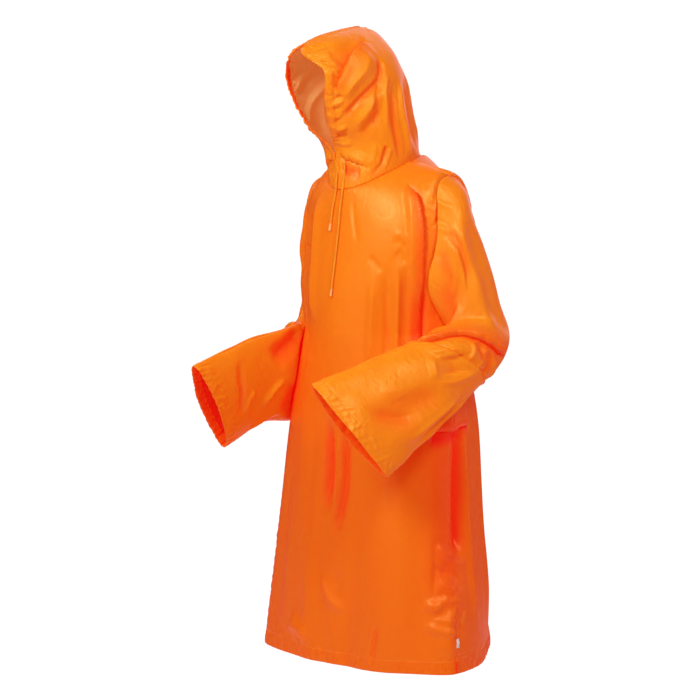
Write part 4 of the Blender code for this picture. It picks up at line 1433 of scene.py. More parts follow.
class BodyPanels:
    """Front and back body panels: cut, folded, hemmed and tucked."""

    hem_width: float = 0.030
    slack: float = 0.003
    # Extra length of the cloth at a seam, as a part, and how far from it that reaches
    hem_gather: tuple = (0.028, 0.020)
    top_gather: tuple = (0.030, 0.020)
    low_gather: tuple = (0.014, 0.030)
    side_reach: float = 0.024

    def __init__(self, form: BodyForm) -> None:
        """Work out both panels.

        Args:
            form: Form of the body.
        """
        self.form = form
        self.front = form.panel(True)
        self.back = form.panel(False)
        self.sew(self.front, 14)
        self.sew(self.back, 15)

    def sew(self, grid: ClothGrid, seed: int) -> None:
        """Draw a panel in at its seams and shape its hem.

        Args:
            grid: The panel.
            seed: Which puckers.
        """
        points = grid.points
        height = points[..., 2].copy()
        around = np.degrees(np.arctan2(points[..., 0], self.form.axis_y - points[..., 1]))
        sides = np.minimum(grid.from_edge(Edge.FIRST_COLUMN), grid.from_edge(Edge.LAST_COLUMN))
        hem = grid.from_edge(Edge.FIRST_ROW)
        top = grid.from_edge(Edge.LAST_ROW)
        low = ease((-0.72 - height) / 0.18)
        arm = ease((height + 0.40) / 0.08)
        across = self.slack + self.hem_gather[0] * bell(hem - 0.5 * self.hem_width,
                                                        self.hem_gather[1])
        across += self.top_gather[0] * np.exp(-top / self.top_gather[1])
        across += self.low_gather[0] * low * np.exp(-sides / self.low_gather[1])
        along = self.slack + (0.010 + 0.040 * low + 0.022 * arm) * np.exp(
            -sides / self.side_reach)
        hold = np.zeros_like(height)
        hold[-1] = hold[:, 0] = hold[:, -1] = 1.0
        hold = np.maximum(hold, HELD * bell(hem - self.hem_width, 0.002))
        hold[0] = 0.5
        grid.stitched_band(Edge.FIRST_ROW, self.hem_width, around * DEGREE, seed, 0.0006)
        grid.buckle(across, along, hold, seed)

    def finish(self, grid: ClothGrid) -> None:
        """Turn the hem and tuck the seam allowances in.

        Args:
            grid: The panel.
        """
        grid.turn_hem(Edge.FIRST_ROW, self.hem_width - 0.001)
        grid.tuck(Edge.FIRST_COLUMN)
        grid.tuck(Edge.LAST_COLUMN)
        grid.tuck(Edge.LAST_ROW)

    def armhole(self, side: Side) -> Array:
        """Find the closed line of an armhole.

        Args:
            side: Which armhole.

        Returns:
            Its points, down the front from the shoulder and up the back.
        """
        column = -1 if side is Side.LEFT else 0
        start = self.form.rows_hem + self.form.rows_side
        down = self.front.points[:start - 1:-1, column]
        up = self.back.points[start + 1:-1, column]
        return np.vstack([down, up])

    def neck(self, side: Side) -> Array:
        """Find half of the neck line.

        Args:
            side: Which half.

        Returns:
            Its points from the centre front to the centre back.
        """
        centre = self.form.columns_neck + self.form.columns_shoulder
        reach = self.form.columns_neck + 1
        columns = centre + side.value * np.arange(reach)
        front = self.front.points[-1, columns]
        back = self.back.points[-1, columns]
        return np.vstack([front, back[-2::-1]])

    def tree(self) -> tuple:
        """Make a search tree of both panels' points.

        Returns:
            The tree, the points and their normals.
        """
        places = np.concatenate([self.front.points.reshape(-1, 3),
                                 self.back.points.reshape(-1, 3)])
        normals = np.concatenate([self.front.soft_normals().reshape(-1, 3),
                                  self.back.soft_normals().reshape(-1, 3)])
        tree = KDTree(len(places))
        for index, place in enumerate(places):
            tree.insert(place, index)
        tree.balance()
        return tree, places, normals


@dataclass
class SleeveForm:
    """Worn form of one sleeve.

    Attributes:
        side: Which sleeve.
        sections: outer_x, outer_y, outer_z, inner_x, inner_y, inner_z, away, near, full.
        folds: Folds as (degrees round the sleeve, metres from the armhole).
        lip: How far the outer face of the cuff reaches past the rest of its mouth.
    """

    side: Side
    sections: tuple
    folds: tuple
    rows: int = 150
    rows_cuff: int = 24
    cuff_zone: float = 0.038
    cuff_width: float = 0.026
    clearance: float = 0.006
    clearing_top_z: float = -0.180
    clearing_reach: float = 0.060
    elbow: tuple = (0.31, 0.05)
    slack: float = 0.006
    # Extra length of the cloth at a seam, as a part, and how far from it that reaches
    cuff_gather: tuple = (0.034, 0.026)
    armhole_gather: tuple = (0.030, 0.022)
    seed: int = 21
    lip: float = 0.0

    def build(self, panels: BodyPanels) -> ClothGrid:
        """Work out the sleeve.

        Args:
            panels: The body panels that it is sewn to.

        Returns:
            The sleeve's grid, rows from the armhole to the cuff.
        """
        ring = panels.armhole(self.side)
        count = len(ring)
        turn = TURN * np.arange(count) / count
        table = np.array(self.sections)
        flip = np.array([self.side.value, 1.0, 1.0])
        outer, inner = table[:, 0:3] * flip, table[:, 3:6] * flip
        centres = np.vstack([ring.mean(axis=0)[None], 0.5 * (outer + inner)])
        rings = [ring]
        for k, row in enumerate(table):
            half = 0.5 * (outer[k] - inner[k])
            after = centres[min(k + 2, len(centres) - 1)]
            away = unit(np.cross(after - centres[k], half) * self.side.value)
            power = 2.0 / row[8]
            long_part = rounded(np.cos(turn), power)
            short_part = rounded(np.sin(turn), power)
            thick = np.where(short_part > 0, row[6], row[7])
            rings.append(centres[k + 1] + long_part[:, None] * half
                         + (short_part * thick)[:, None] * away)
        rings = np.array(rings)
        onward = unit(centres[-1] - centres[-2])
        rings[-1] += self.lip * np.maximum(np.sin(turn), 0.0)[:, None] * onward
        rings[1:] = panels.form.drop_shoulder(rings[1:])
        stations = ring_stations(rings)
        at = two_zones((0.0, stations[-1] - self.cuff_zone, stations[-1]),
                       (self.rows, self.rows_cuff))
        points = through(stations, rings, at)
        girth = np.linalg.norm(np.diff(points, axis=1), axis=2).sum(axis=1).mean()
        degrees = np.arange(count) * 360.0 / count * np.ones((len(at), 1))
        down = at[:, None] * np.ones((1, count))
        flat = np.stack([degrees / 360.0 * girth, -down], -1)
        grid = ClothGrid(points, flat, float(self.side.value), closed=True)
        self.fold(grid, degrees, down, girth / 360.0)
        self.keep_clear(grid, panels)
        self.sew(grid, degrees, down, girth / 360.0)
        return grid

    def fold(self, grid: ClothGrid, degrees: Array, down: Array, scale: float) -> None:
        """Press the folds in, which fade out at the armhole.

        Args:
            grid: The sleeve.
            degrees: Degrees of each point round it.
            down: Distance of each point from the armhole.
            scale: Metres for one degree.
        """
        before = grid.points.copy()
        outward = grid.soft_normals(10)
        for fold in self.folds:
            grid.press((fold,), full_turns(degrees, fold), down, scale, outward)
        turn = np.radians(degrees)
        size = rumple(np.sin(turn) * 0.08 + np.cos(turn) * 0.05, down, self.seed, (0.09, 0.11))
        grid.lift(0.0013 * size, outward)
        hold = ease(down / 0.05)[..., None]
        grid.points = before + (grid.points - before) * hold

    def keep_clear(self, grid: ClothGrid, panels: BodyPanels) -> None:
        """Move the sleeve out of the body.

        Args:
            grid: The sleeve.
            panels: The body panels.
        """
        tree, places, normals = panels.tree()
        points = grid.points
        rows, columns = points.shape[:2]
        push = np.zeros_like(points)
        for row in range(1, rows):
            clearance = self.clearance * min(1.0, row / 8.0)
            for column in range(columns):
                point = points[row, column]
                if point[2] > self.clearing_top_z:
                    continue
                _place, nearest, distance = tree.find(point)
                depth = (point - places[nearest]) @ normals[nearest]
                if depth < clearance and distance < self.clearing_reach:
                    push[row, column] = (clearance - depth) * normals[nearest]
        soft = push
        for _ in range(4):
            soft = np.where(np.abs(push).sum(-1, keepdims=True) > 0, push, grid.smoothed(soft))
        soft[0] = 0.0
        grid.points = points + soft

    def sew(self, grid: ClothGrid, degrees: Array, down: Array, scale: float) -> None:
        """Shape the cuff band, and wrinkle the cloth at the seams and the elbow.

        Args:
            grid: The sleeve.
            degrees: Degrees of each point round it.
            down: Distance of each point from the armhole.
            scale: Metres for one degree.
        """
        grid.stitched_band(Edge.LAST_ROW, self.cuff_width, degrees * scale, self.seed + 2,
                           0.0010)
        cuff = grid.from_edge(Edge.LAST_ROW)
        elbow = bell(down - self.elbow[0], self.elbow[1])
        crook = 0.5 + 0.5 * np.cos(np.radians(degrees - 70.0))
        underside = 0.5 + 0.5 * np.cos(np.radians(degrees - 10.0))
        across = self.slack + self.cuff_gather[0] * bell(cuff - 0.6 * self.cuff_width,
                                                         self.cuff_gather[1])
        across += self.armhole_gather[0] * np.exp(-down / self.armhole_gather[1]) + 0.010 * elbow
        along = (self.slack + 0.030 * elbow * crook
                 + 0.010 * underside * ease((down - 0.33) / 0.05))
        hold = np.zeros_like(down)
        hold[0] = 1.0
        hold = np.maximum(hold, HELD * bell(cuff - self.cuff_width, 0.002))
        hold[-1] = 0.5
        grid.buckle(across, along, hold, self.seed + 3)

    def finish(self, grid: ClothGrid) -> None:
        """Turn the cuff hem and tuck the allowance in.

        Args:
            grid: The sleeve.
        """
        grid.turn_hem(Edge.LAST_ROW, self.cuff_width - 0.001)
        grid.tuck(Edge.FIRST_ROW)


LEFT_SLEEVE_SECTIONS = (
    (0.227, 0.036, -0.030, 0.206, 0.004, -0.346, 0.060, 0.070, 2.0),
    (0.237, 0.050, -0.094, 0.205, -0.006, -0.346, 0.058, 0.062, 2.0),
    (0.253, 0.073, -0.175, 0.202, -0.030, -0.345, 0.056, 0.054, 2.0),
    (0.275, 0.093, -0.277, 0.200, -0.056, -0.343, 0.056, 0.050, 2.0),
    (0.292, 0.102, -0.344, 0.205, -0.071, -0.340, 0.058, 0.048, 2.0),
    (0.304, 0.072, -0.401, 0.219, -0.102, -0.350, 0.058, 0.044, 1.9),
    (0.298, -0.021, -0.466, 0.212, -0.159, -0.360, 0.052, 0.040, 1.8),
    (0.279, -0.153, -0.556, 0.185, -0.271, -0.394, 0.038, 0.034, 1.7),
    (0.260, -0.270, -0.638, 0.149, -0.390, -0.434, 0.031, 0.037, 1.7),
)
RIGHT_SLEEVE_SECTIONS = (
    (0.224, 0.040, -0.030, 0.206, 0.006, -0.346, 0.042, 0.070, 2.0),
    (0.232, 0.058, -0.094, 0.204, -0.002, -0.346, 0.034, 0.062, 2.0),
    (0.247, 0.082, -0.180, 0.201, -0.024, -0.344, 0.028, 0.056, 2.0),
    (0.272, 0.100, -0.300, 0.200, -0.048, -0.341, 0.028, 0.052, 2.0),
    (0.290, 0.104, -0.390, 0.202, -0.060, -0.338, 0.034, 0.050, 2.0),
    (0.290, 0.083, -0.485, 0.202, -0.070, -0.337, 0.040, 0.046, 1.9),
    (0.268, 0.014, -0.558, 0.188, -0.094, -0.341, 0.042, 0.040, 1.8),
    (0.251, -0.132, -0.569, 0.186, -0.247, -0.365, 0.036, 0.034, 1.7),
    (0.244, -0.267, -0.615, 0.183, -0.420, -0.413, 0.030, 0.030, 1.7),
)
LEFT_SLEEVE_FOLDS = folds(
    ("elbow lip", LAP, ((172, 326), (154, 307), (135, 268), (116, 256), (97, 258), (66, 265),
     (40, 270), (18, 272)), 16, 20, 0.14, 0.7),
    ("upper arm ridge", RIDGE, ((60, 30), (66, 70), (72, 160), (75, 255)), 17, 9, 0.14),
    ("upper arm second ridge", PLEAT, ((76, 10), (82, 60), (92, 130)), 11, 6.5, 0.35),
    ("armhole shade", VALLEY, ((78, 12), (96, 30), (112, 60)), 10, 4, 0.3, 0.4),
    ("upper arm valley", VALLEY, ((68, 6), (74, 60), (83, 120)), 9, 5, 0.3, 0.4),
    ("upper arm pull", TROUGH, ((102, 50), (108, 130), (114, 220)), 18, 5, 0.3, 0.2),
    ("beside the body", TROUGH, ((114, 10), (126, 80), (134, 180)), 24, 2, 0.2, 0.5),
    ("outer arm facet", PLEAT, ((12, 50), (22, 140), (36, 240)), 30, 3),
    ("elbow pucker 1", PLEAT, ((96, 288), (80, 306), (70, 340)), 5, 4.5),
    ("elbow pucker 2", VALLEY, ((86, 283), (70, 299), (50, 321)), 8, 7, 0.3, 0.4),
    ("elbow pucker 3", PLEAT, ((72, 294), (60, 307), (50, 344)), 5, 4),
    ("elbow pucker 4", VALLEY, ((62, 290), (42, 315), (32, 346)), 9, 7.5, 0.3, 0.45),
    ("elbow pucker 5", PLEAT, ((44, 298), (24, 310), (4, 328)), 6, 4.5),
    ("dent", TROUGH, ((100, 345), (80, 365), (66, 380)), 24, 10, 0.2),
    ("dent upper edge", PLEAT, ((124, 372), (108, 335), (92, 312)), 10, 3),
    ("dent cuff edge", PLEAT, ((116, 378), (98, 402), (80, 420)), 10, 5.5),
    ("dent lower edge", PLEAT, ((78, 420), (62, 393), (49, 338)), 10, 4.5),
    ("hollow", VALLEY, ((112, 590), (92, 572), (72, 545), (58, 490)), 20, 7, 0.4, 0.45),
    ("hollow middle", TROUGH, ((106, 565), (88, 530), (72, 475), (62, 420)), 22, 6, 0.3, 0.3),
    ("below the hollow", RIDGE, ((72, 600), (50, 560), (42, 480), (40, 400)), 22, 7.5),
    ("lower edge fold 1", PLEAT, ((38, 570), (37, 480), (35, 390)), 9, 5),
    ("lower edge fold 2", VALLEY, ((27, 560), (25, 470), (24, 380)), 8, 4.5),
    ("lower edge fold 3", PLEAT, ((14, 540), (13, 460), (14, 370)), 9, 4.5),
    ("forearm top line", VALLEY, ((160, 400), (158, 500), (162, 600)), 14, 3.5),
    ("under forearm 1", CREASE, ((345, 360), (330, 450), (322, 560)), 14, 8),
    ("under forearm 2", TROUGH, ((240, 360), (255, 450), (250, 570)), 24, 8),
    ("inner forearm pull", PLEAT, ((215, 340), (275, 410), (310, 500)), 14, 6),
    ("inner elbow fold", CREASE, ((320, 300), (270, 285), (215, 315)), 15, 11),
    ("back arm fold 1", VALLEY, ((330, 60), (318, 150), (335, 250)), 16, 7),
    ("back arm fold 2", PLEAT, ((295, 50), (285, 140), (300, 240)), 16, 6),
    ("elbow back fold", LAP, ((20, 350), (0, 338), (340, 345)), 12, 7),
)
RIGHT_SLEEVE_FOLDS = folds(
    ("elbow crook", LAP, ((186, 330), (150, 300), (110, 290), (60, 300), (20, 312)), 16, 15, 0.15),
    ("near ridge", PLEAT, ((262, 445), (280, 485), (303, 540)), 10, 8.5),
    ("near ridge 2", PLEAT, ((268, 545), (283, 575), (300, 600)), 9, 5),
    ("near valley", VALLEY, ((216, 560), (240, 578), (262, 588), (302, 614)), 11, 7, 0.3, 0.35),
    ("body shade", VALLEY, ((196, 345), (214, 394), (238, 480)), 25, 18, 0.3, 0.7),
    ("low hollow", TROUGH, ((270, 405), (296, 425), (330, 455)), 22, 10, 0.3, 0.5),
    ("low ridge", PLEAT, ((318, 450), (330, 530), (340, 600)), 12, 5),
    ("top line", VALLEY, ((186, 420), (183, 520), (188, 620)), 12, 3.5),
    ("away dent", TROUGH, ((112, 420), (90, 460), (62, 500)), 26, 9),
    ("away dent edge", PLEAT, ((128, 460), (104, 510), (70, 540)), 12, 6),
    ("away low fold", PLEAT, ((40, 420), (36, 520), (40, 620)), 11, 5),
    ("elbow pucker 1", PLEAT, ((110, 315), (92, 332), (76, 360)), 7, 5.5),
    ("elbow pucker 2", VALLEY, ((94, 318), (76, 336), (60, 365)), 7, 5.5),
    ("elbow pucker 3", PLEAT, ((76, 322), (58, 340), (40, 368)), 7, 5.5),
    ("upper arm ridge", PLEAT, ((70, 50), (78, 140), (92, 250)), 18, 7),
    ("upper arm valley", VALLEY, ((44, 30), (58, 100), (62, 200)), 14, 5.5),
    ("front arm pull", TROUGH, ((120, 60), (124, 150), (130, 250)), 18, 7),
    ("back arm fold 1", VALLEY, ((325, 70), (312, 170), (330, 280)), 16, 7),
    ("back arm fold 2", PLEAT, ((292, 60), (282, 150), (296, 260)), 16, 6),
    ("inner elbow fold", CREASE, ((320, 330), (270, 305), (215, 330)), 15, 10),
)


@dataclass
class HoodForm:
    """Worn form of one hood half.

    Attributes:
        side: Which half.
        folds: Folds as (part from the face edge to the back seam, height).
    """

    side: Side
    folds: tuple
    rows: int = 140
    columns_tunnel: int = 22
    columns: int = 122
    tunnel_zone: float = 0.10
    span: float = 0.36
    turn: float = math.radians(-12.0)
    turn_height: float = 0.120
    tunnel_width: float = 0.022
    tunnel_inset: float = 0.0030
    slack: float = 0.007
    # Extra length of the cloth at a seam, as a part, and how far from it that reaches
    neck_gather: tuple = (0.035, 0.022)
    tunnel_gather: tuple = (0.034, 0.022)
    rear_gather: tuple = (0.020, 0.018)
    seed: int = 41
    # height, edge_x, edge_y, side_x, side_y, back_y, full
    sections: tuple = (
        (0.060, 0.003, -0.134, 0.103, -0.020, 0.088, 2.0),
        (0.120, 0.037, -0.172, 0.111, -0.035, 0.060, 2.0),
        (0.180, 0.061, -0.200, 0.115, -0.050, 0.048, 2.1),
        (0.240, 0.074, -0.212, 0.108, -0.062, 0.036, 2.2),
        (0.285, 0.014, -0.232, 0.090, -0.075, 0.022, 2.0),
        (0.318, 0.000, -0.182, 0.058, -0.075, -0.002, 1.8),
        (0.338, 0.000, -0.115, 0.024, -0.062, -0.024, 1.6),
        (0.346, 0.000, -0.078, 0.0001, -0.060, -0.042, 1.6),
    )

    def ring(self, section: Array, fractions: Array) -> Array:
        """Read points off half a section.

        Args:
            section: A row of the table.
            fractions: Parts of its length, from the front edge round to the back seam.

        Returns:
            Places along X and Y.
        """
        _height, edge_x, edge_y, side_x, side_y, back_y, full = section
        power = 2.0 / full
        start = math.asin(min(1.0, edge_x / side_x) ** (1.0 / power))
        reach = (edge_y - side_y) / max(math.cos(start) ** power, 0.05)
        front = np.linspace(start, math.pi / 2, 201)
        back = np.linspace(math.pi / 2, 0.0, 201)[1:]
        ahead = np.stack([side_x * np.sin(front) ** power,
                          side_y + reach * np.cos(front) ** power], 1)
        behind = np.stack([side_x * np.sin(back), side_y + (back_y - side_y) * np.cos(back)], 1)
        return even(np.vstack([ahead, behind]), fractions)

    def build(self, panels: BodyPanels) -> ClothGrid:
        """Work out the hood half.

        Args:
            panels: The body panels that it is sewn to.

        Returns:
            The half's grid, rows from the neck seam to the crown, columns from the face edge.
        """
        fractions = two_zones((0.0, self.tunnel_zone, 1.0), (self.columns_tunnel, self.columns))
        sign = self.side.value
        neck = panels.form.neck_point(fractions * math.pi)
        rings = [neck]
        for section in np.array(self.sections):
            line = self.ring(section, fractions)
            rings.append(np.column_stack([line, np.full(len(neck), section[0])]))
        rings = np.array(rings)
        stations = ring_stations(rings)
        points = through(stations, rings, np.linspace(0.0, stations[-1], self.rows + 1))
        points[..., 0] = np.maximum(points[..., 0], 0.0)
        points[-1, :, 0] = 0.0
        points[..., 0] *= sign
        across = fractions[None] * np.ones((len(points), 1))
        height = points[..., 2].copy()
        flat = np.stack([across * self.span, lengths(points)], -1)
        grid = ClothGrid(points, flat, float(sign))
        self.fold(grid, across, height)
        grid.points[..., 0] = sign * np.maximum(sign * grid.points[..., 0], 0.0)
        self.tunnel(grid)
        grid.points = self.turned(grid.points)
        self.meet_neck(grid, panels, fractions)
        return grid

    def fold(self, grid: ClothGrid, across: Array, height: Array) -> None:
        """Press the folds in; the edges stay where they are.

        Args:
            grid: The hood half.
            across: Part of the way of each point from the face edge to the back seam.
            height: Height of each point.
        """
        before = grid.points.copy()
        grid.press(self.folds, across, height, self.span, grid.soft_normals(10))
        part = np.linspace(0.0, 1.0, len(before))[:, None]
        size = rumple(across * self.span, height, self.seed, (0.10, 0.12))
        grid.lift(0.0012 * size, grid.soft_normals(10))
        hold = ease(part / 0.10) * ease((1.0 - part) / 0.10) * ease((1.0 - across) / 0.06)
        on_seam = np.abs(before[:, :1, 0]) < 0.002
        hold = hold * np.where(on_seam, ease(across / 0.06), 1.0)
        grid.points = before + (grid.points - before) * hold[..., None]

    def tunnel(self, grid: ClothGrid) -> None:
        """Shape the gathered drawstring tunnel along the face edge.

        Args:
            grid: The hood half.
        """
        away = grid.from_edge(Edge.FIRST_COLUMN)
        run = lengths(grid.points[:, :1])
        open_part = ease(np.abs(grid.points[:, :1, 0]) / 0.012)
        width = self.tunnel_width
        bulge = np.sin(math.pi * np.clip(away / width, 0.0, 1.0)) * 0.0020
        line = bell(away - width, LINE_WIDTH) * 0.0009
        waves = waver(run + 0.2 * away, self.seed + 1, (0.014, 0.023, 0.041))
        pleat = np.clip(waves, -1.6, 0.9)
        inside = bell(away - 0.6 * width, 0.8 * width)
        beyond = ease((away - width) / 0.003) * np.exp(-(away - width) / 0.016)
        height = bulge - line + 0.0017 * inside * pleat + 0.0016 * beyond * waves
        grid.lift(height * open_part, grid.soft_normals(2))
        grid.layers = np.maximum(grid.layers, ease((width - away) / 0.002) * open_part)
        stitched = bell(away - width + THREAD_INSET, THREAD_WIDTH)
        grid.thread = np.maximum(grid.thread, stitched * open_part)

    def turned(self, points: Array) -> Array:
        """Turn points about the upright axis, more the higher they are.

        Args:
            points: Points of the hood half.

        Returns:
            The turned points.
        """
        points = np.array(points, float)
        angle = self.turn * ease((points[..., 2] - points[:1, :, 2]) / self.turn_height)
        x, y = points[..., 0].copy(), points[..., 1].copy()
        points[..., 0] = x * np.cos(angle) - y * np.sin(angle)
        points[..., 1] = x * np.sin(angle) + y * np.cos(angle)
        return points

    def meet_neck(self, grid: ClothGrid, panels: BodyPanels, fractions: Array) -> None:
        """Bring the first row onto the neck line and wrinkle the cloth at its seams.

        Args:
            grid: The hood half.
            panels: The body panels.
            fractions: Part of the way of each column from the face edge to the back seam.
        """
        neck = panels.neck(self.side)
        line = read_off(np.linspace(0.0, 1.0, len(neck)), neck, fractions)
        away = grid.from_edge(Edge.FIRST_ROW)
        shift = line - grid.points[0]
        grid.points = grid.points + shift[None] * np.exp(-away / 0.012)[..., None]
        face = grid.from_edge(Edge.FIRST_COLUMN)
        rear = grid.from_edge(Edge.LAST_COLUMN)
        open_part = ease(np.abs(grid.points[:, :1, 0]) / 0.02)
        across = self.slack + self.neck_gather[0] * np.exp(-away / self.neck_gather[1])
        uneven = 0.55 + 0.45 * waver(grid.flat[..., 1], self.seed + 5, (0.061, 0.093))
        along = self.slack + (self.tunnel_gather[0] * uneven * open_part
                              * bell(face - 0.018, self.tunnel_gather[1]))
        along = along + self.rear_gather[0] * np.exp(-rear / self.rear_gather[1])
        hold = np.zeros_like(away)
        hold[0] = hold[-1] = 1.0
        hold[:, -1] = 1.0
        stitched = bell(face - self.tunnel_width, 0.0018)
        hold = np.maximum(hold, HELD * stitched * open_part)
        hold[:, 0] = np.maximum(hold[:, 0], 1.0 - 0.35 * open_part[:, 0])
        grid.buckle(across, along, hold, self.seed + 3)

    def finish(self, grid: ClothGrid) -> None:
        """Turn the tunnel's cloth and tuck the allowances in.

        Args:
            grid: The hood half.
        """
        grid.turn_hem(Edge.FIRST_COLUMN, self.tunnel_width - 0.001, self.tunnel_inset)
        grid.tuck(Edge.LAST_COLUMN)
        grid.tuck(Edge.FIRST_ROW)
        grid.tuck(Edge.LAST_ROW)


LEFT_HOOD_FOLDS = folds(
    ("crown diagonal", LAP, ((0.535, 306), (0.43, 284), (0.3, 262), (0.175, 236), (0.075, 190)), 13,
     15, 0.12, 0.55),
    ("above the diagonal", TROUGH, ((0.45, 305), (0.28, 282), (0.13, 245)), 14, 5, 0.3, 0.2),
    ("below the diagonal", PLEAT, ((0.49, 284), (0.33, 248), (0.2, 213), (0.11, 172)), 17, 9, 0.2),
    ("second diagonal", VALLEY, ((0.525, 272), (0.46, 250), (0.37, 215), (0.22, 172), (0.1, 132)),
     9, 7, 0.15, 0.5),
    ("third diagonal", PLEAT, ((0.42, 205), (0.3, 158), (0.18, 112)), 15, 7.5),
    ("below the third", VALLEY, ((0.4, 165), (0.3, 125), (0.2, 85)), 12, 5, 0.3, 0.25),
    ("cheek line", PLEAT, ((0.505, 246), (0.44, 205), (0.425, 155), (0.4, 105)), 9, 6),
    ("cheek trough", VALLEY, ((0.455, 240), (0.375, 195), (0.345, 140), (0.33, 95)), 10, 5.5, 0.3,
     0.25),
    ("back trough", VALLEY, ((0.515, 215), (0.475, 150), (0.44, 85), (0.405, 35)), 10, 7, 0.3,
     0.35),
    ("back ridge", PLEAT, ((0.6, 240), (0.565, 165), (0.53, 85), (0.475, 30)), 11, 7),
    ("rear trough", TROUGH, ((0.69, 250), (0.655, 160), (0.6, 55)), 13, 6.5, 0.3, 0.3),
    ("rear ridge", PLEAT, ((0.78, 270), (0.745, 170), (0.71, 60)), 14, 6.5),
    ("chin flap", LAP, ((0.035, 57), (0.1, 50), (0.17, 40), (0.23, 30)), 11, 9, 0.2),
    ("chin recess", TROUGH, ((0.02, 22), (0.08, 18), (0.17, 12)), 14, 12, 0.2, 0.6),
    ("jaw fold", CREASE, ((0.36, 78), (0.325, 55), (0.3, 35), (0.245, 14), (0.235, 2)), 8, 8.5,
     0.15, 0.3),
    ("jaw roll", PLEAT, ((0.29, 85), (0.262, 52), (0.22, 26)), 9, 4),
    ("pinch 1", VALLEY, ((0.05, 262), (0.09, 255), (0.14, 262)), 6, 3.5),
    ("pinch 2", PLEAT, ((0.05, 250), (0.08, 240), (0.125, 243)), 6, 3.5),
    ("pinch 3", VALLEY, ((0.045, 232), (0.075, 226), (0.11, 216)), 6, 4),
    ("pinch 4", VALLEY, ((0.045, 176), (0.08, 178), (0.13, 188)), 5, 4.5),
    ("pinch 5", PLEAT, ((0.045, 168), (0.085, 169), (0.135, 176)), 5, 4),
    ("pinch 6", VALLEY, ((0.045, 158), (0.085, 157), (0.12, 162)), 5, 4),
    ("pinch 7", VALLEY, ((0.045, 128), (0.08, 132), (0.13, 142)), 6, 4),
    ("pinch 8", PLEAT, ((0.045, 110), (0.09, 112), (0.15, 122)), 6, 4),
    ("pinch 9", VALLEY, ((0.045, 98), (0.09, 96), (0.14, 102)), 6, 4.5),
    ("pinch 10", PLEAT, ((0.045, 84), (0.1, 80), (0.16, 84)), 6, 4),
    ("brim pull 1", VALLEY, ((0.05, 286), (0.12, 290), (0.24, 300)), 10, 4),
    ("brim pull 2", PLEAT, ((0.05, 272), (0.13, 276), (0.22, 284)), 8, 3.5),
)
RIGHT_HOOD_FOLDS = folds(
    ("crown diagonal", CREASE, ((0.52, 300), (0.38, 272), (0.24, 246), (0.07, 196)), 15, 8.5, 0.15),
    ("below the diagonal", PLEAT, ((0.44, 268), (0.28, 232), (0.1, 182)), 12, 6),
    ("second diagonal", VALLEY, ((0.55, 250), (0.38, 205), (0.22, 160), (0.1, 118)), 13, 7, 0.15),
    ("cheek line", PLEAT, ((0.5, 225), (0.44, 170), (0.41, 110)), 10, 5.5),
    ("back trough", VALLEY, ((0.56, 215), (0.52, 140), (0.47, 45)), 12, 6.5),
    ("back ridge", PLEAT, ((0.67, 245), (0.63, 160), (0.58, 50)), 13, 6.5),
    ("rear trough", TROUGH, ((0.79, 260), (0.76, 160), (0.72, 60)), 14, 6),
    ("chin flap", LAP, ((0.035, 55), (0.12, 46), (0.22, 30)), 11, 8, 0.2),
    ("chin recess", TROUGH, ((0.03, 24), (0.14, 14)), 11, 6.5, 0.2),
    ("jaw fold", CREASE, ((0.38, 72), (0.32, 40), (0.26, 6)), 10, 7, 0.2),
    ("pinch 1", VALLEY, ((0.045, 248), (0.08, 244), (0.13, 252)), 6, 3.5),
    ("pinch 2", VALLEY, ((0.045, 214), (0.08, 216), (0.13, 226)), 6, 4),
    ("pinch 3", PLEAT, ((0.045, 180), (0.09, 178), (0.14, 184)), 5, 4),
    ("pinch 4", VALLEY, ((0.045, 150), (0.09, 150), (0.13, 158)), 6, 4),
    ("pinch 5", PLEAT, ((0.045, 120), (0.09, 118), (0.15, 126)), 6, 4),
    ("pinch 6", VALLEY, ((0.045, 94), (0.09, 90), (0.14, 96)), 6, 4.5),
    ("brim pull", VALLEY, ((0.05, 280), (0.13, 286), (0.25, 296)), 10, 4),
)


# ---- Pieces ----


def select_only(piece: Object) -> None:
    """Select a piece alone and make it the active one."""
    bpy.ops.object.select_all(action="DESELECT")
    piece.select_set(True)
    bpy.context.view_layer.objects.active = piece


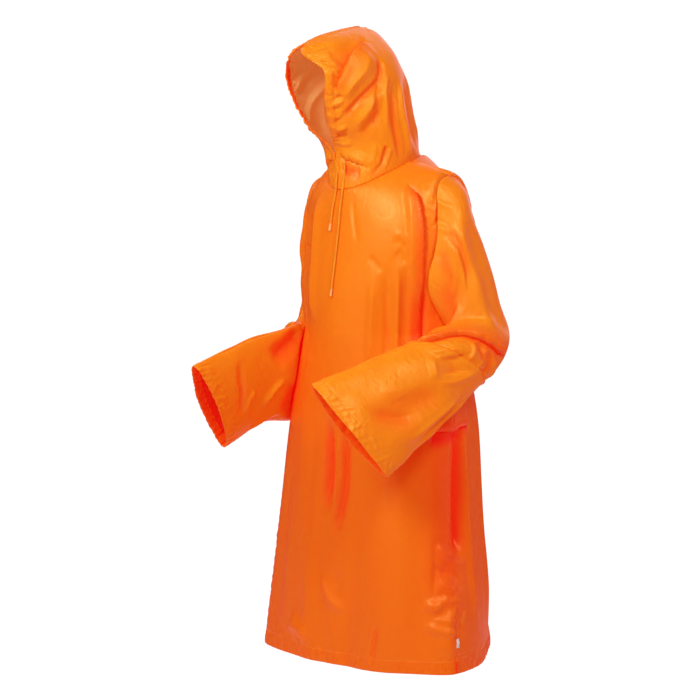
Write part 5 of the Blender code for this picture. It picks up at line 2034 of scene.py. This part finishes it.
@dataclass
class ClothPiece:
    """One sewn piece of cloth, made from its grid.

    Attributes:
        name: Name of the piece.
        node: CAD node that it stands for.
        grid: Its points.
        flat: Width and length of the cloth that it is cut from; not used.
        rests_on: What it hangs from; not used.
        wall: Thickness of the cloth.
    """

    name: str
    node: str
    grid: ClothGrid
    flat: tuple
    rests_on: tuple
    wall: float = 0.0007

    def build(self, outer: Material, inner: Material) -> Object:
        """Build the piece with its wall and finishes.

        Args:
            outer: Finish of the coated face.
            inner: Finish of the inner face.

        Returns:
            The piece.
        """
        points = self.grid.points
        index = np.arange(points[..., 0].size).reshape(points.shape[:2])
        after = np.roll(index, -1, axis=1) if self.grid.closed else index[:, 1:]
        before = index if self.grid.closed else index[:, :-1]
        quads = np.stack([before[:-1], after[:-1], after[1:], before[1:]], -1).reshape(-1, 4)
        if self.grid.outward < 0:
            quads = quads[:, ::-1]
        piece = mesh_object(self.name, points.reshape(-1, 3).tolist(), quads.tolist())
        mesh = piece.data
        # The hollow attribute carries the painted shade.
        for name, values in (("layers", self.grid.layers), ("thread", self.grid.thread),
                             ("hollow", self.grid.hollows())):
            kept = mesh.attributes.new(name, "FLOAT", "POINT")
            kept.data.foreach_set("value", values.reshape(-1))
        loops = np.empty(len(mesh.loops), dtype=np.int64)
        mesh.loops.foreach_get("vertex_index", loops)
        places = self.grid.flat.reshape(-1, 2)[loops]
        mesh.uv_layers.new(name="cloth").data.foreach_set("uv", places.reshape(-1))
        mesh.materials.append(outer)
        mesh.materials.append(inner)
        self.close_poles(mesh)
        shell = piece.modifiers.new("wall", "SOLIDIFY")
        shell.thickness = self.wall
        shell.offset = 0.0
        shell.material_offset = 1
        select_only(piece)
        bpy.ops.object.modifier_apply(modifier=shell.name)
        piece.select_set(False)
        piece.data.shade_smooth()
        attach(piece, ROOT)
        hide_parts(self.node)
        LOG.info("%s: %d faces", self.name, len(piece.data.polygons))
        return piece

    def close_poles(self, mesh: Mesh) -> None:
        """Merge points that coincide, such as at the crown.

        Args:
            mesh: The piece's mesh.
        """
        form = bmesh.new()
        form.from_mesh(mesh)
        bmesh.ops.remove_doubles(form, verts=form.verts[:], dist=0.00002)
        bmesh.ops.dissolve_degenerate(form, edges=form.edges[:], dist=0.00001)
        form.to_mesh(mesh)
        form.free()


@dataclass
class Drawstring:
    """Free end of the hood's drawstring with its sealed tip.

    Attributes:
        side: Which end.
        plan: Sideways place and height of the route, from the tunnel's end down.
    """

    side: Side
    plan: tuple
    diameter: float = 0.0052
    clearance: float = 0.0012
    tip_length: float = 0.016
    tip_diameter: float = 0.0064
    spacing: float = 0.0022
    sides: int = 14
    cloth_wall: float = 0.0012
    hood_front: tuple = (slice(1, 50), slice(45))
    inset: float = 0.0006
    gap: float = 0.0003

    def route(self, front: ClothGrid, hood: ClothGrid) -> Array:
        """Lay the cord's middle on the hood's front and then on the panel.

        Args:
            front: Front panel.
            hood: Hood half.

        Returns:
            Points of the route, from the tunnel's end down.
        """
        lift = 0.5 * self.diameter + 0.5 * self.cloth_wall + self.clearance
        strips = list(front.points) + list(hood.points[self.hood_front])
        places = []
        for x, z in self.plan:
            profile = []
            for strip in strips:
                order = strip[np.argsort(strip[:, 0])]
                profile.append(read_off(order[:, 0], order, x)[0])
            profile = np.array(profile)
            places.append((x, np.interp(z, profile[:, 2], profile[:, 1]) - lift, z))
        places = np.array(places)
        stations = lengths(places)
        count = round(stations[-1] / self.spacing) + 1
        return through(stations, places, np.linspace(0.0, stations[-1], count))

    def build(self, front: ClothGrid, hood: ClothGrid, cord_finish: Material,
              tip_finish: Material) -> None:
        """Build the cord and its tip.

        Args:
            front: Front panel that it lies on.
            hood: Hood half that it leaves.
            cord_finish: Finish of the braid.
            tip_finish: Finish of the sealed tip.
        """
        name = self.side.name.lower()
        route = self.route(front, hood)
        run = lengths(route)
        tip = self.tip(name, route, tip_finish)
        turn = TURN * np.arange(self.sides) / self.sides
        along = unit(np.gradient(route, axis=0))
        side = unit(np.cross(along, (0.0, 1.0, 0.0)))
        up = np.cross(side, along)
        cos, sin = np.cos(turn)[None, :, None], np.sin(turn)[None, :, None]
        rings = route[:, None] + 0.5 * self.diameter * (cos * side[:, None] + sin * up[:, None])
        rows, count = rings.shape[:2]
        index = np.arange(rows * count).reshape(rows, count)
        after = np.roll(index, -1, axis=1)
        quads = np.stack([index[:-1], index[1:], after[1:], after[:-1]], -1).reshape(-1, 4)
        ends = [index[0].tolist(), index[-1][::-1].tolist()]
        piece = mesh_object("braided_drawstring_" + name, rings.reshape(-1, 3).tolist(),
                            quads.tolist() + ends)
        mesh = piece.data
        uv = mesh.uv_layers.new(name="cloth")
        for face in mesh.polygons:
            spot = [mesh.loops[k].vertex_index for k in face.loop_indices]
            turns = [(v % count) / count for v in spot]
            if max(turns) - min(turns) > 0.5:
                turns = [t + 1.0 if t < 0.5 else t for t in turns]
            for loop, v, t in zip(face.loop_indices, spot, turns):
                uv.data[loop].uv = (t, run[v // count])
        mesh.shade_smooth()
        mesh.materials.append(cord_finish)
        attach(piece, ROOT)
        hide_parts("drawstring_" + name)
        LOG.info("drawstring %s: %.3f m", name, run[-1])

    def tip(self, name: str, route: Array, finish: Material) -> Object:
        """Build the sealed tip below the cord.

        Args:
            name: Side of the wearer.
            route: The cord's route.
            finish: Finish of the tip.

        Returns:
            The tip.
        """
        bpy.ops.object.select_all(action="DESELECT")
        bpy.ops.mesh.primitive_cylinder_add(vertices=20, radius=0.5 * self.tip_diameter,
                                            depth=self.tip_length)
        piece = bpy.context.object
        piece.name = "drawstring_end_" + name
        bpy.ops.object.mode_set(mode="EDIT")
        # side of the end face, how much it shrinks, how far it moves
        for sign, grow, step in ((1, 0.80, 0.0007), (-1, 0.72, -0.0009)):
            form = bmesh.from_edit_mesh(piece.data)
            for face in form.faces:
                face.select_set(face.normal.z * sign > 0.9)
            bmesh.update_edit_mesh(piece.data)
            bpy.ops.mesh.inset(thickness=self.inset)
            bpy.ops.transform.translate(value=(0.0, 0.0, step))
            bpy.ops.transform.resize(value=(grow, grow, 1.0),
                                     center_override=(0.0, 0.0, step * 10))
            bpy.ops.mesh.select_all(action="DESELECT")
        bpy.ops.object.mode_set(mode="OBJECT")
        upright = Vector(unit(route[-2] - route[-1]))
        piece.rotation_mode = "QUATERNION"
        piece.rotation_quaternion = upright.to_track_quat("Z", "Y")
        piece.location = Vector(route[-1]) - upright * (0.5 * self.tip_length + self.gap)
        select_only(piece)
        bpy.ops.object.transform_apply(location=True, rotation=True, scale=True)
        piece.data.materials.clear()
        piece.data.materials.append(finish)
        piece.data.shade_smooth()
        piece.data.set_sharp_from_angle(angle=math.radians(40.0))
        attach(piece, ROOT)
        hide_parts("drawstring_tip_" + name)
        return piece


@dataclass
class SideLabel:
    """Small blank label in the left side seam."""

    width: float = 0.010
    length: float = 0.020
    bottom_z: float = -1.040
    lift: float = 0.0016
    inset: float = 0.001
    wall: float = 0.0006
    rows: int = 21
    columns: int = 11

    def build(self, back: ClothGrid, finish: Material) -> None:
        """Build the label.

        Args:
            back: Back panel that it lies on.
            finish: Its finish.
        """
        edge = back.points[:, -1]
        places, normals = back.points[:, ::-1], back.soft_normals(4)[:, ::-1]
        away = lengths(places.swapaxes(0, 1)).swapaxes(0, 1)
        reach = self.inset + self.width * np.linspace(0.0, 1.0, self.columns)
        lines = []
        for height in np.linspace(self.bottom_z, self.bottom_z + self.length, self.rows):
            row = int(np.argmin(np.abs(edge[:, 2] - height)))
            line = read_off(away[row], places[row], reach)
            line += self.lift * unit(read_off(away[row], normals[row], reach))
            line[:, 2] += height - edge[row, 2]
            lines.append(line)
        flat = np.stack(np.meshgrid(np.linspace(0, self.width, self.columns),
                                    np.linspace(0, self.length, self.rows)), -1)
        sheet = ClothGrid(np.array(lines), flat, 1.0)
        if np.mean(sheet.normals()[..., 0]) < 0:
            sheet.outward = -1.0
        piece = ClothPiece("blank_side_label", "side_label", sheet, (self.width, self.length),
                           ("back_body",), self.wall)
        piece.build(finish, finish)


@dataclass
class RainPoncho:
    """The whole garment."""

    effects: ClothEffects = field(default_factory=ClothEffects)
    outer: CoatedCloth = CoatedCloth()
    # Painted light: the same cloth in a lighter colour, as the arms catch more light.
    outer_arms: CoatedCloth = CoatedCloth(
        light=(0.31, 0.166, 0.006, 1.0), deep=(0.31, 0.176, 0.005, 1.0),
        hem=(0.31, 0.172, 0.005, 1.0), crinkle=0.26)
    # Painted light: the same cloth in a lighter colour, as the hood catches more light.
    outer_hood: CoatedCloth = CoatedCloth(
        light=(0.30, 0.164, 0.005, 1.0), deep=(0.30, 0.140, 0.005, 1.0),
        hem=(0.30, 0.150, 0.005, 1.0), crinkle=0.36)
    # Painted shade: the inside of the same cloth is dark red, as shade inside the cuffs and body,
    # and it emits a painted glow.
    inner: CoatedCloth = CoatedCloth(
        light=(0.26, 0.024, 0.008, 1.0), deep=(0.26, 0.027, 0.008, 1.0),
        hem=(0.26, 0.027, 0.007, 1.0), roughness=0.68, shade=0.3,
        through=(0.53, 0.003, 0.001, 1.0))
    # Painted light: the hood's inside is lighter and glows, standing in for light passing through
    # the thin hood.
    inner_hood: CoatedCloth = CoatedCloth(
        light=(0.40, 0.30, 0.12, 1.0), deep=(0.40, 0.27, 0.11, 1.0),
        hem=(0.30, 0.110, 0.010, 1.0), roughness=0.75, shade=0.2, crinkle=0.10,
        through=(0.37, 0.080, 0.016, 1.0), through_folds=(0.36, 0.05, 0.01, 1.0))

    def build(self) -> None:
        """Build all pieces."""
        panels = BodyPanels(BodyForm())
        forms = {
            "left_sleeve": SleeveForm(Side.LEFT, LEFT_SLEEVE_SECTIONS, LEFT_SLEEVE_FOLDS,
                                      seed=21, lip=0.014),
            "right_sleeve": SleeveForm(Side.RIGHT, RIGHT_SLEEVE_SECTIONS, RIGHT_SLEEVE_FOLDS,
                                       seed=31),
            "hood_left": HoodForm(Side.LEFT, LEFT_HOOD_FOLDS, seed=41),
            "hood_right": HoodForm(Side.RIGHT, RIGHT_HOOD_FOLDS, seed=51),
        }
        grids = {name: form.build(panels) for name, form in forms.items()}
        self.cords(panels.front, grids)
        label = PlainFinish((0.86, 0.80, 0.79, 1.0), (0.80, 0.72, 0.71, 1.0), 0.6, 2500.0)
        SideLabel().build(panels.back, label.material("label_weave"))
        for name, form in forms.items():
            form.finish(grids[name])
        grids["front_body"], grids["back_body"] = panels.front, panels.back
        panels.finish(panels.front)
        panels.finish(panels.back)
        body = ("front_body", "back_body")
        # node: width and length of the cut, what it hangs from, finishes of its two faces
        cuts = {
            "front_body": ((0.80, 1.20), body[1:], self.outer, self.inner),
            "back_body": ((0.92, 1.25), body[:1], self.outer, self.inner),
            "left_sleeve": ((0.62, 0.68), body, self.outer_arms, self.inner),
            "right_sleeve": ((0.62, 0.68), body, self.outer_arms, self.inner),
            "hood_left": ((0.40, 0.42), body, self.outer_hood, self.inner_hood),
            "hood_right": ((0.40, 0.42), body, self.outer_hood, self.inner_hood),
        }
        for name, (flat, rests_on, outer, inner) in cuts.items():
            ClothPiece("coated_" + name, name, grids[name], flat, rests_on).build(
                outer.material(name + "_cloth", self.effects),
                inner.material(name + "_inside", self.effects))

    def cords(self, front: ClothGrid, grids: dict) -> None:
        """Build both free ends of the drawstring.

        Args:
            front: Front panel that they lie on.
            grids: Grids of the other pieces, by name.
        """
        braid = BraidedCord().material("braided_cord")
        sealed = PlainFinish((0.72, 0.28, 0.08, 1.0), (0.66, 0.20, 0.05, 1.0), 0.60,
                             1200.0).material("sealed_tip")
        Drawstring(Side.LEFT, (
            (0.010, 0.041), (0.010, 0.015), (0.009, -0.020), (0.008, -0.060),
            (0.006, -0.110), (0.003, -0.160), (0.000, -0.205), (-0.003, -0.245),
        )).build(front, grids["hood_left"], braid, sealed)
        Drawstring(Side.RIGHT, (
            (-0.009, 0.016), (-0.010, -0.005), (-0.012, -0.030), (-0.016, -0.062),
            (-0.019, -0.098),
        )).build(front, grids["hood_right"], braid, sealed)


def main() -> None:
    """Build the studio and the garment."""
    logging.basicConfig(level=logging.INFO, format="%(name)s: %(message)s")
    Studio().build()
    RainPoncho().build()


if __name__ == "__main__":
    main()
